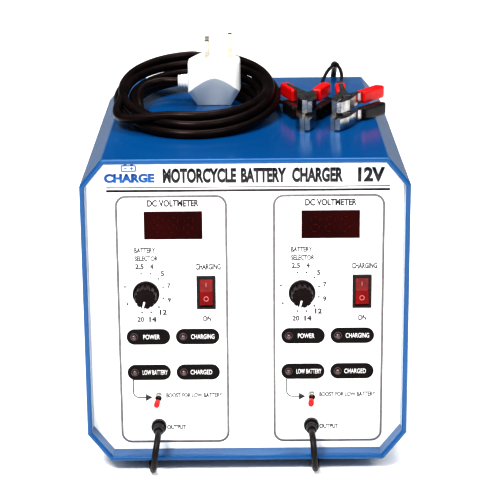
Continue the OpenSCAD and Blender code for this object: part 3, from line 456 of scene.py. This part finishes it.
for name, place, at, size, power in (("lamp_left", (-0.9, -1.7, 2.5), (0, 0, 0.15), 0.9, 105),
                                     ("lamp_right", (1.6, -1.5, 2.0), (0, 0, 0.15), 1.2, 30),
                                     ("lamp_top", (0.1, 0.5, 2.6), (0, 0.1, 0.2), 1.6, 40)):
    lamp = bpy.data.lights.new(name, "AREA")
    lamp.size, lamp.energy = size, power
    held = bpy.data.objects.new(name, lamp)
    held.location = place
    held.rotation_euler = (Vector(place) - Vector(at)).to_track_quat("Z", "Y").to_euler()
    scene.collection.objects.link(held)
scene.view_settings.view_transform = "Standard"
scene.view_settings.look = "High Contrast"


# The case: sheet steel folded to a long eight-sided tube, stove-enamelled bright blue. The cover makes
# the top, the upper chamfers and the sides, the pan makes the floor and the lower chamfers, and both
# have a rolled edge at the front and at the rear.
CASE_HALF_W, CASE_BOTTOM, CASE_FRONT, PANEL = 140.0, 10.0, -180.0, -162.0
TOP_CUT_W, TOP_CUT_H, PAN_CUT_W, SEAM = 19, 23, 20, 35
blue_enamel = surface("blue_enamel", (0.0005, 0.050, 0.147), (0.001, 0.062, 0.176),
                      7, (0.13, 0.2), 260, 0.00003,
                      Specular_IOR_Level=0.42)


def folded_skin(corners, bend, fold):
    """A folded sheet: the outline through the corners in X and Z, with round bends, is carried along Y
    through the fold, whose rows give the place along Y and how far inside the outline. An inset row
    keeps its distance from every flat, and its bends shrink by the inset. The two ends are closed."""
    c = np.array(corners, float)
    d = np.diff(c, axis=0)
    d /= np.linalg.norm(d, axis=1)[:, None]
    n = np.stack([-d[:, 1], d[:, 0]], 1)
    y, inset = np.array(fold, float).T
    ring = []
    for i, place in enumerate(c):
        if i in (0, len(c) - 1):
            ring.append(place - inset[:, None] * n[min(i, len(n) - 1)])
            continue
        mitre = (n[i - 1] + n[i]) / (1 + n[i - 1] @ n[i])
        radius = np.maximum(bend - inset, 0.35)[:, None]
        middle = place - (inset[:, None] + radius) * mitre
        ring.append(middle + radius * n[i - 1] - 0.8 * d[i - 1])
        for w in np.linspace(0, 1, 7):
            lean = (1 - w) * n[i - 1] + w * n[i]
            ring.append(middle + radius * lean / np.linalg.norm(lean))
        ring.append(middle + radius * n[i] + 0.8 * d[i])
    grid = np.array(ring)
    grid = np.stack([grid[..., 0], np.broadcast_to(y, grid.shape[:2]), grid[..., 1]], 2)
    rows, m = grid.shape[:2]
    first = np.arange(rows - 1)[:, None] * m + np.arange(m)
    after = np.arange(rows - 1)[:, None] * m + (np.arange(m) + 1) % m
    quads = np.stack([first, after, after + m, first + m], -1).reshape(-1, 4).tolist()
    return grid.reshape(-1, 3), quads + [list(range(m)), list(range((rows - 1) * m, rows * m))]


ROLL_R, HEM_T, SHEET_T, BEND_R = 2.2, 4.4, 1.5, 3.2
quarter = np.linspace(0, np.pi / 2, 7)
front_out = [(CASE_FRONT + ROLL_R * (1 - math.sin(a)), ROLL_R * (1 - math.cos(a)))
             for a in np.pi / 2 - quarter]
front_in = [(CASE_FRONT + ROLL_R * (1 - math.sin(a)), HEM_T - ROLL_R * (1 - math.cos(a)))
            for a in quarter]
rear_out = [(-y, t) for y, t in reversed(front_out)]
rear_in = [(-y, t) for y, t in reversed(front_in)]
outer_rows = [(-177, 0), (-60, 0), (60, 0), (177, 0)]
inner_rows = [(176.5, HEM_T), (162.1, HEM_T), (160.3, HEM_T), (160.3, SHEET_T), (-158.8, SHEET_T),
              (-158.8, HEM_T), (-176.5, HEM_T)]
fold = front_out + outer_rows + rear_out + rear_in[1:] + inner_rows + front_in[:-1]
cover_corners = [(-CASE_HALF_W, SEAM + 0.2), (-CASE_HALF_W, TOP - TOP_CUT_H),
                 (-CASE_HALF_W + TOP_CUT_W, TOP), (CASE_HALF_W - TOP_CUT_W, TOP),
                 (CASE_HALF_W, TOP - TOP_CUT_H), (CASE_HALF_W, SEAM + 0.2)]
pan_corners = [(CASE_HALF_W, SEAM), (CASE_HALF_W - PAN_CUT_W, CASE_BOTTOM),
               (-CASE_HALF_W + PAN_CUT_W, CASE_BOTTOM), (-CASE_HALF_W, SEAM)]
case_cover = add_piece("case_cover", [folded_skin(cover_corners, BEND_R, fold)], "case", blue_enamel,
                       28)
case_pan = add_piece("case_pan", [folded_skin(pan_corners, BEND_R, fold)], "case", blue_enamel,
                     28)
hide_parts("top_cover", "front_frame")
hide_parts("base_pan")
recoat(blue_enamel, "rear_panel")


# The front panel: a flat sheet with a smooth white stove finish, and everything on it is screen printed:
# the heading with its rules, a rounded frame around each channel, the dial figures and the labels.
panel_white = surface("panel_white", (0.83, 0.835, 0.84), (0.86, 0.86, 0.86),
                      12, (0.3, 0.42), 500, 0.00002)
recoat(panel_white, "front_panel")
ink_dark = surface("ink_dark", (0.012, 0.009, 0.009), (0.026, 0.02, 0.02),
                   300, (0.45, 0.6), 2000, 0.00001)
ink_grey = surface("ink_grey", (0.10, 0.09, 0.09), (0.15, 0.14, 0.14), 300, (0.45, 0.6), 2000, 0.00001)
ink_blue = surface("ink_blue", (0.01, 0.10, 0.36), (0.015, 0.13, 0.42), 300, (0.45, 0.6), 2000, 0.00001)
ink_white = surface("ink_white", (0.62, 0.60, 0.60), (0.74, 0.72, 0.72), 300, (0.4, 0.55), 2000, 0.00001)
CHANNELS = {"left": -63.5, "right": 71.5}
HEADING_L, HEADING_R, HEADING_LOW, HEADING_HIGH = -118.4, 123.5, 258, 271
INK_Y, BOLD = PANEL - 0.03, 0.05


def printed_words(words, x0, x1, z0, z1, weight=BOLD, y=INK_Y):
    """Words set in the plain built-in letters, made a mesh and stretched to fill the box from x0 to x1
    and z0 to z1, facing forward."""
    setting = bpy.data.curves.new("words", "FONT")
    setting.body, setting.offset, setting.resolution_u = words, weight, 4
    held = bpy.data.objects.new("words", setting)
    scene.collection.objects.link(held)
    made = bpy.data.meshes.new_from_object(held.evaluated_get(bpy.context.evaluated_depsgraph_get()))
    flat = np.zeros(len(made.vertices) * 3)
    made.vertices.foreach_get("co", flat)
    flat = flat.reshape(-1, 3)[:, :2]
    faces = [list(f.vertices) for f in made.polygons]
    bpy.data.objects.remove(held)
    bpy.data.curves.remove(setting)
    bpy.data.meshes.remove(made)
    low, high = flat.min(0), flat.max(0)
    share = (flat - low) / (high - low)
    points = [x0 + share[:, 0] * (x1 - x0), np.full(len(flat), y), z0 + share[:, 1] * (z1 - z0)]
    return np.stack(points, 1), faces


def printed_line(points, wide, closed=False, y=INK_Y):
    """A printed line of even width: each point gives two, half the width to either side of it along
    the mitre, which is the sum of both runs' normals over one plus their product."""
    p = np.array(points, float)
    d = np.diff(np.vstack([p[-1:], p, p[:1]]), axis=0)
    d /= np.linalg.norm(d, axis=1)[:, None]
    if not closed:
        d[0], d[-1] = d[1], d[-2]
    n = np.stack([-d[:, 1], d[:, 0]], 1)
    mitre = (n[:-1] + n[1:]) / (1 + (n[:-1] * n[1:]).sum(1))[:, None]
    both = np.concatenate([p - mitre * wide / 2, p + mitre * wide / 2])
    k = len(p)
    i = np.arange(k if closed else k - 1)
    faces = np.stack([i, (i + 1) % k, (i + 1) % k + k, i + k], 1).tolist()
    return np.stack([both[:, 0], np.full(2 * k, y), both[:, 1]], 1), faces


def add_print(name, skins, body, finish):
    """A printed layer: its flat faces are turned to the front and get the thickness of the ink."""
    piece = add_piece(name, skins, body, finish, 30)
    if piece.data.polygons[0].normal.y > 0:
        piece.data.flip_normals()
    ink = piece.modifiers.new("ink", "SOLIDIFY")
    ink.thickness, ink.offset = 0.00003, 0
    return piece


def round_corners(x0, x1, z0, z1, r):
    """The outline of a rectangle whose corners are quarter circles of radius r."""
    a = np.linspace(0, np.pi / 2, 9)
    middles = ((x1 - r, z1 - r, 0), (x0 + r, z1 - r, np.pi / 2), (x0 + r, z0 + r, np.pi),
               (x1 - r, z0 + r, 1.5 * np.pi))
    return np.vstack([np.stack([cx + r * np.cos(a + s), cz + r * np.sin(a + s)], 1)
                      for cx, cz, s in middles])


heading = [printed_words(word, x0, x1, HEADING_LOW, HEADING_HIGH) for word, x0, x1 in (
    ("MOTORCYCLE", -70, -7.5), ("BATTERY", -3.5, 35), ("CHARGER", 40, 83.5), ("12V", 96, 119))]
add_print("heading_words", heading, "case", ink_dark)
rule = printed_line([(HEADING_L, 251.4), (HEADING_R, 251.4)], 2.1)
hairline = printed_line([(HEADING_L, 254.4), (HEADING_R, 254.4)], 1.1)
add_print("heading_rules", [rule], "case", ink_dark)
add_print("heading_hairline", [hairline], "case", ink_grey)
# A battery's box with its two posts, a minus and a plus, over the word
battery = [printed_line(round_corners(-105, -93, 268.8, 273.6, 0.8), 1, True),
           printed_line([(-103, 274.4), (-100.6, 274.4)], 1),
           printed_line([(-97.4, 274.4), (-95, 274.4)], 1),
           printed_line([(-103, 271.2), (-100.4, 271.2)], 0.8),
           printed_line([(-97.6, 271.2), (-95, 271.2)], 0.8),
           printed_line([(-96.3, 269.9), (-96.3, 272.5)], 0.8),
           printed_words("CHARGE", -120, -77, 258.6, 266.6, 0.06)]
add_print("battery_sign", battery, "case", ink_blue)
# Battery sizes on the dial by their angle from the top, and its middle beside the channel's middle line
FIGURES = {-15: "2.5", 15: "4", 45: "5", 75: "7", 105: "9", 135: "12", 165: "14", 195: "20"}
KNOB_X, KNOB_Z = -23, 160
# The figures and their dots lie on two ovals around it, given by half their width and half their height
FIGURES_W, FIGURES_H, DOTS_W, DOTS_H = 20.5, 24.9, 15.3, 18.2
# Each label with its left and right ends beside the channel's middle line, its foot and its head
LABELS = (("DC VOLTMETER", -20.5, 24, 237.2, 243.6), ("BATTERY", -32.5, -14, 196.2, 201),
          ("SELECTOR", -32.5, -12, 188.8, 193.6), ("CHARGING", 20, 42, 180.6, 186.4),
          ("ON", 25.6, 33.4, 133.4, 139), ("BOOST FOR LOW BATTERY", -7.6, 42.2, 62.8, 67.4),
          ("OUTPUT", -7.3, 9.5, 32.6, 37.2), ("A", -40.8, -38.2, 147.8, 152.2),
          ("H", -42.4, -39.8, 163.6, 168))
DOT_R = 0.9
FRAME_HALF_W, FRAME_LOW, FRAME_HIGH, FRAME_R = 47, 21.5, 246.5, 8.5
for side, x in CHANNELS.items():
    frame_line = round_corners(x - FRAME_HALF_W, x + FRAME_HALF_W, FRAME_LOW, FRAME_HIGH, FRAME_R)
    add_print("channel_frame_" + side, [printed_line(frame_line, 2.2, True)], "case", ink_grey)
    labels = [printed_words(text, x + x0, x + x1, z0, z1) for text, x0, x1, z0, z1 in LABELS]
    dots = []
    for angle, figure in FIGURES.items():
        s, c = math.sin(math.radians(angle)), math.cos(math.radians(angle))
        fx, fz = x + KNOB_X + FIGURES_W * s, KNOB_Z + FIGURES_H * c
        half = 1.6 * len(figure) * (0.8 if "." in figure else 1)
        labels.append(printed_words(figure, fx - half, fx + half, fz - 2.5, fz + 2.5))
        dx, dz = x + KNOB_X + DOTS_W * s, KNOB_Z + DOTS_H * c
        ring = np.linspace(0, 2 * np.pi, 13)[:-1]
        dot = [dx + DOT_R * np.cos(ring), np.full(12, INK_Y), dz + DOT_R * np.sin(ring)]
        dots.append((np.stack(dot, 1), [list(range(12))]))
    # the arrow drops from the low battery lamp, bends forward and points at the boost lever
    bend = [(x - 31.3 + 5 * math.cos(a), 68.3 + 5 * math.sin(a))
            for a in np.linspace(np.pi, 1.5 * np.pi, 7)]
    arrow = [(x - 36.3, 79.9), *bend, (x - 25, 63.3)]
    head = [[x - 25.6, INK_Y, 59.6], [x - 19.6, INK_Y, 63.3], [x - 25.6, INK_Y, 67.0]]
    add_print("labels_" + side, labels + dots, "case", ink_dark)
    arrow_skins = [printed_line(arrow, 1.2), (np.array(head), [[0, 1, 2]])]
    add_print("boost_arrow_" + side, arrow_skins, "case", ink_dark)


# The voltmeter windows: dark red acrylic panes that stand a little proud of the panel. Three unlit
# seven-segment figures show faintly at the face of each.
meter_red = surface("meter_red", (0.012, 0.0002, 0.0004), (0.026, 0.0006, 0.0008),
                    30, (0.12, 0.2), 400, 0.000008,
                    Specular_IOR_Level=0.05)
segment_red = surface("segment_red", (0.030, 0.001, 0.001), (0.040, 0.0015, 0.0015),
                      200, (0.2, 0.3), 800, 0.0,
                      Specular_IOR_Level=0.05)
# The seven bars of a figure: their middles beside the figure's own, and whether they stand upright
BARS = ((0, 6.6, False), (0, 0, False), (0, -6.6, False), (-3.6, 3.3, True), (3.6, 3.3, True),
        (-3.6, -3.3, True), (3.6, -3.3, True))
METER_X, METER_Z, FIGURE_STEP, SLANT, BAR_W, BAR_Y = 1.5, 221, 13, 0.1, 1.2, PANEL - 1.215
for side, x in CHANNELS.items():
    recoat(meter_red, "display_window_" + side)
    bars = []
    for k in (-1, 0, 1):
        cx, cz = x + METER_X + FIGURE_STEP * k, METER_Z
        for dx, dz, upright in BARS:
            ends = [(0, -2.3), (0, 2.3)] if upright else [(-2.6, 0), (2.6, 0)]
            bar = [(cx + dx + a + SLANT * (dz + b), cz + dz + b) for a, b in ends]
            bars.append(printed_line(bar, BAR_W, y=BAR_Y))
    add_print("meter_figures_" + side, bars, "case", segment_red)


# The selector knobs: black phenolic, a smooth skirt under a fluted grip, with a white line filled into
# the mould that points at the chosen setting. Each is pressed on a steel shaft.
knob_black = surface("knob_black", (0.004, 0.0015, 0.0015), (0.010, 0.004, 0.004),
                     120, (0.3, 0.45), 900, 0.00003,
                     Specular_IOR_Level=0.1)
knob_line = surface("knob_line", (0.55, 0.53, 0.52), (0.66, 0.64, 0.63), 200, (0.45, 0.6), 1500, 0.00002)
switch_brown = surface("switch_brown", (0.06, 0.035, 0.02), (0.10, 0.06, 0.035),
                       90, (0.4, 0.6), 900, 0.00004)
# The line stands at this angle from the top, with a land of the grip under it, halfway between flutes
POINTER, FLUTES, FLUTE_DEPTH = 195, 12, 0.95
LINE_HALF_W, LINE_HALF_T = 0.75, 0.14
for side, x in CHANNELS.items():
    node = "selector_knob_" + side
    # rows of the turned profile: radius, place along Y, depth of the flutes
    profile = np.array([[10.9, -163.85, 0], [11.4, -163.95, 0], [11.6, -164.3, 0], [11.6, -166.3, 0],
                        [11.35, -166.9, 0], [10.7, -167.3, 0], [10.0, -167.5, 0.2], [9.75, -167.9, 0.9],
                        [9.6, -168.8, 1], [9.3, -177.9, 1], [9.1, -178.7, 0.9], [8.6, -179.2, 0.6],
                        [8.0, -179.4, 0.2], [6.8, -179.35, 0], [4, -179.1, 0], [1, -179.05, 0]])
    turn = np.linspace(0, 2 * np.pi, 144, endpoint=False)
    flute = np.clip(np.cos(FLUTES * (turn - math.radians(POINTER + 180 / FLUTES))), 0, 1) ** 1.3
    r = profile[:, :1] - FLUTE_DEPTH * profile[:, 2:] * flute
    rings = np.stack([x + KNOB_X + r * np.sin(turn), np.broadcast_to(profile[:, 1:2], r.shape),
                      KNOB_Z + r * np.cos(turn)], 2)
    knob = add_piece("knob_" + side, [skin_over(rings)], node, knob_black, 32)
    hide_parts(node)
    # the white line, a flat strip that runs out over the grip and down to the skirt
    run = np.array([[2.6, -179.2], [6.6, -179.5], [8.3, -179.55], [9.3, -178.9], [9.55, -178],
                    [9.85, -168.6], [10.2, -167.6], [11.5, -167.0], [11.75, -166.3], [11.72, -164.2]])
    out = np.gradient(run, axis=0)
    out = np.stack([out[:, 1], -out[:, 0]], 1) / np.linalg.norm(out, axis=1)[:, None] * -LINE_HALF_T
    point = np.array([math.sin(math.radians(POINTER)), math.cos(math.radians(POINTER))])
    aside = np.array([point[1], -point[0]])
    corner = []
    for way, lift in ((-1, -1), (1, -1), (1, 1), (-1, 1)):
        flat = run + lift * out
        xz = np.array([x + KNOB_X, KNOB_Z]) + flat[:, :1] * point + way * LINE_HALF_W * aside
        corner.append(np.stack([xz[:, 0], flat[:, 1], xz[:, 1]], 1))
    add_piece("knob_line_" + side, [skin_over(np.stack(corner, 1))], node, knob_line, 30)
    recoat(switch_brown, "selector_switch_" + side)


# The mains rockers: a glossy red rocker in a black snap-in housing. Its upper half carries the bar
# and its lower half the ring, both printed in a white that the red shows through.
housing_black = surface("housing_black", (0.005, 0.004, 0.004), (0.012, 0.009, 0.009),
                        200, (0.3, 0.45), 1500, 0.00003,
                        Specular_IOR_Level=0.2)
rocker_red = surface("rocker_red", (0.085, 0.0006, 0.0008), (0.17, 0.001, 0.001),
                     110, (0.2, 0.3), 500, 0.00002,
                     Specular_IOR_Level=0.3)
mark_white = surface("mark_white", (0.30, 0.08, 0.08), (0.42, 0.14, 0.14), 300, (0.4, 0.5), 1500, 0.0)
ROCKER_X, ROCKER_Y, ROCKER_Z, ROCKER_TILT = 29, PANEL + 1.5, 160.5, math.radians(-10)
ROCKER_LOW, ROCKER_RISE, ROCKER_HALF_H = 2.6, 2.0, 12.05
MARK_R, MARK_W, MARK_UP, MARK_LIFT = 1.9, 0.7, 6.0, 0.06
around = np.linspace(0, 2 * np.pi, 24, endpoint=False)
MARKS = ((MARK_UP, np.array([[0.0, -MARK_R], [0.0, MARK_R]]), False),
         (-MARK_UP, np.stack([MARK_R * np.cos(around), MARK_R * np.sin(around)], 1), True))
for side, x in CHANNELS.items():
    node = "rocker_" + side
    recoat(housing_black, "rocker_housing_" + side)
    recoat(rocker_red, node)
    # the two flats meet in a shallow V over the pivot and are marked at mid height
    skins = []
    for up, mark, closed in MARKS:
        line, faces = printed_line(mark, MARK_W, closed, y=0)
        z = up + line[:, 2]
        y = -(ROCKER_LOW + ROCKER_RISE * np.abs(z) / ROCKER_HALF_H) - MARK_LIFT
        skins.append((np.stack([x + ROCKER_X + line[:, 0],
                                ROCKER_Y + y * math.cos(ROCKER_TILT) - z * math.sin(ROCKER_TILT),
                                ROCKER_Z + y * math.sin(ROCKER_TILT) + z * math.cos(ROCKER_TILT)], 1),
                      faces))
    add_print("rocker_marks_" + side, skins, node, mark_white)


# The boost switches: plated miniature toggles. The lever is a turned bat that thickens towards its end,
# with a red vinyl sleeve, and stands low until it is flipped.
nickel = surface("nickel", (0.50, 0.49, 0.47), (0.68, 0.67, 0.65),
                 250, (0.14, 0.26), 1200, 0.00002, Metallic=1.0)
sleeve_red = surface("sleeve_red", (0.30, 0.003, 0.003), (0.45, 0.005, 0.005),
                     150, (0.25, 0.4), 900, 0.00003,
                     Specular_IOR_Level=0.3)
BOOST_X, BOOST_Z = -14, 64.5
lean, drop = math.radians(25), math.radians(13)
stick_way = np.array([-math.sin(drop) * math.sin(lean), -math.cos(drop),
                      -math.sin(drop) * math.cos(lean)])
for side, x in CHANNELS.items():
    node = "boost_lever_" + side
    recoat(nickel, "boost_switch_" + side)
    pivot = np.array([x + BOOST_X, PANEL, BOOST_Z])
    # how far out from the pivot, and how thick there: first the bat, then the sleeve
    s = np.array([-1.6, -1.2, -0.5, 0.4, 1.1, 1.6, 5, 8.5, 12, 15.4, 16.0])
    r = np.array([0.5, 1.2, 1.75, 1.8, 1.45, 1.15, 1.1, 1.3, 1.5, 1.6, 1.0])
    bat = skin_over(round_rings(pivot + s[:, None] * stick_way, r, 28))
    lever = add_piece("toggle_lever_" + side, [bat], node, nickel, 50)
    s = np.array([9.0, 9.1, 9.4, 10, 12, 14.5, 16, 16.6, 16.9, 17.0])
    r = np.array([1.7, 2.2, 2.45, 2.5, 2.6, 2.6, 2.3, 1.7, 1.0, 0.3])
    sleeve = skin_over(round_rings(pivot + s[:, None] * stick_way, r, 28))
    add_piece("toggle_sleeve_" + side, [sleeve], node, sleeve_red, 60)
    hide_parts(node)


# The lamp plates: glossy black labels with round ends, printed white, and a small lamp dome that is
# smoky while it is unlit, set in a fine raised ring.
plate_black = surface("plate_black", (0.003, 0.0015, 0.0015), (0.007, 0.004, 0.004),
                      60, (0.2, 0.3), 500, 0.00001,
                      Specular_IOR_Level=0.1)
lamp_smoke = surface("lamp_smoke", (0.030, 0.008, 0.008), (0.055, 0.016, 0.014),
                     400, (0.08, 0.16), 900, 0.0,
                     Coat_Weight=0.8)
ring_grey = surface("ring_grey", (0.05, 0.045, 0.045), (0.08, 0.07, 0.07), 400, (0.25, 0.35), 900, 0.0)
# Each plate's middle beside the channel's middle line and its height, then its words, how long they
# are and how far they stand right of the plate's middle
PLATE_WORDS = {(-22, 120): ("POWER", 14.5, 2.8), (21, 120): ("CHARGING", 20.5, 4.5),
               (-22, 87): ("LOW BATTERY", 22, 5.2), (21, 87): ("CHARGED", 19, 2.8)}
WORDS_HALF_H, THIN, WORDS_Y = 2.2, 0.012, PANEL - 0.96
LAMP_X, LAMP_RING_R, LAMP_RING_T, LAMP_RING_Y = -12.5, 3.1, 0.32, PANEL - 1.0
for side, x in CHANNELS.items():
    recoat(plate_black, "lamp_plates_" + side)
    recoat(lamp_smoke, "lamp_domes_" + side)
    words, rings = [], []
    for (dx, z), (text, wide, right) in PLATE_WORDS.items():
        mid = x + dx + right
        words.append(printed_words(text, mid - wide / 2, mid + wide / 2, z - WORDS_HALF_H,
                                   z + WORDS_HALF_H, THIN, WORDS_Y))
        # the ring: a thin round wire carried around the dome in forty steps of eight points
        a = np.linspace(0, 2 * np.pi, 41)[:-1]
        ring = np.stack([x + dx + LAMP_X + LAMP_RING_R * np.cos(a), np.full(40, LAMP_RING_Y),
                         z + LAMP_RING_R * np.sin(a)], 1)
        b = np.linspace(0, 2 * np.pi, 9)[:-1][None, :, None]
        way = np.stack([np.cos(a), np.zeros(40), np.sin(a)], 1)
        depth_way = np.array([0, 1.0, 0])
        tube = ring[:, None] + LAMP_RING_T * (np.cos(b) * way[:, None] + np.sin(b) * depth_way)
        i, j = np.meshgrid(np.arange(40), np.arange(8), indexing="ij")
        next_ring, next_point = (i + 1) % 40 * 8, (j + 1) % 8
        quads = np.stack([i * 8 + j, next_ring + j, next_ring + next_point, i * 8 + next_point], -1)
        rings.append((tube.reshape(-1, 3), quads.reshape(-1, 4).tolist()))
    add_print("plate_words_" + side, words, "case", ink_white)
    add_piece("lamp_rings_" + side, rings, "case", ring_grey, 60)


# The glands: black moulded nylon. The output glands grip their leads at the panel, and the mains gland
# behind has a long tapered boot. The fuse holder and its slotted cap are the same nylon.
gland_nylon = surface("gland_nylon", (0.004, 0.003, 0.003), (0.011, 0.008, 0.008),
                      150, (0.32, 0.48), 1300, 0.00004,
                      Specular_IOR_Level=0.2)
recoat(gland_nylon, "output_gland_left", "output_gland_right", "mains_gland", "fuse_holder", "fuse_cap")


# The feet are black rubber, each held by its own stud through the pan. The case screws are bright
# zinc with low cross-slotted heads, and hold the cover to the pan along both sides.
foot_rubber = surface("foot_rubber", (0.014, 0.014, 0.014), (0.028, 0.027, 0.026),
                      200, (0.6, 0.8), 2500, 0.0001)
screw_zinc = surface("screw_zinc", (0.42, 0.43, 0.44), (0.6, 0.61, 0.62),
                     500, (0.25, 0.4), 3000, 0.00003, Metallic=1.0)
recoat(foot_rubber, "rubber_foot_front_left", "rubber_foot_front_right", "rubber_foot_rear_left",
       "rubber_foot_rear_right")
recoat(screw_zinc, "case_screws")


# The battery clips: folded channels of bright plated steel, a fixed half with its pin and a moving half,
# held shut by a torsion spring around the pin.
clip_steel = surface("clip_steel", (0.22, 0.21, 0.21), (0.55, 0.54, 0.53),
                     120, (0.14, 0.3), 500, 0.00005, Metallic=1.0)
spring_steel = surface("spring_steel", (0.30, 0.29, 0.28), (0.45, 0.44, 0.43),
                       300, (0.25, 0.4), 900, 0.00003,
                       Metallic=1.0)
SPRING_R, SPRING_HALF_L, SPRING_TURNS, WIRE_R = 2.9, 2.6, 4, 0.55
for clip in CLIPS:
    colour, side = clip
    recoat(clip_steel, f"{colour}_clip_body_{side}", f"{colour}_clip_jaw_{side}")
    a = np.linspace(0, 2 * np.pi * SPRING_TURNS, 97)
    coil = np.stack([SPRING_R * np.cos(a + 1.2), SPRING_R * np.sin(a + 1.2),
                     np.linspace(-SPRING_HALF_L, SPRING_HALF_L, 97)], 1)
    spring = skin_over(round_rings(in_clip(clip, coil), WIRE_R, 8))
    add_piece(f"{colour}_clip_spring_{side}", [spring], "case", spring_steel, 60)


# Inside the case: two transformers with laminated cores and taped windings, the charger board, and the
# meter boards behind the panel.
core_steel = surface("core_steel", (0.05, 0.052, 0.055), (0.10, 0.10, 0.11),
                     400, (0.45, 0.65), 3000, 0.0001,
                     Metallic=0.6)
winding_tape = surface("winding_tape", (0.42, 0.30, 0.06), (0.58, 0.42, 0.10),
                       60, (0.35, 0.55), 500, 0.00005)
board_green = surface("board_green", (0.01, 0.08, 0.03), (0.02, 0.13, 0.05),
                      80, (0.3, 0.45), 700, 0.00003)
recoat(core_steel, "transformer_core_left", "transformer_core_right")
recoat(winding_tape, "transformer_winding_left", "transformer_winding_right")
recoat(board_green, "charger_board", "display_boards")
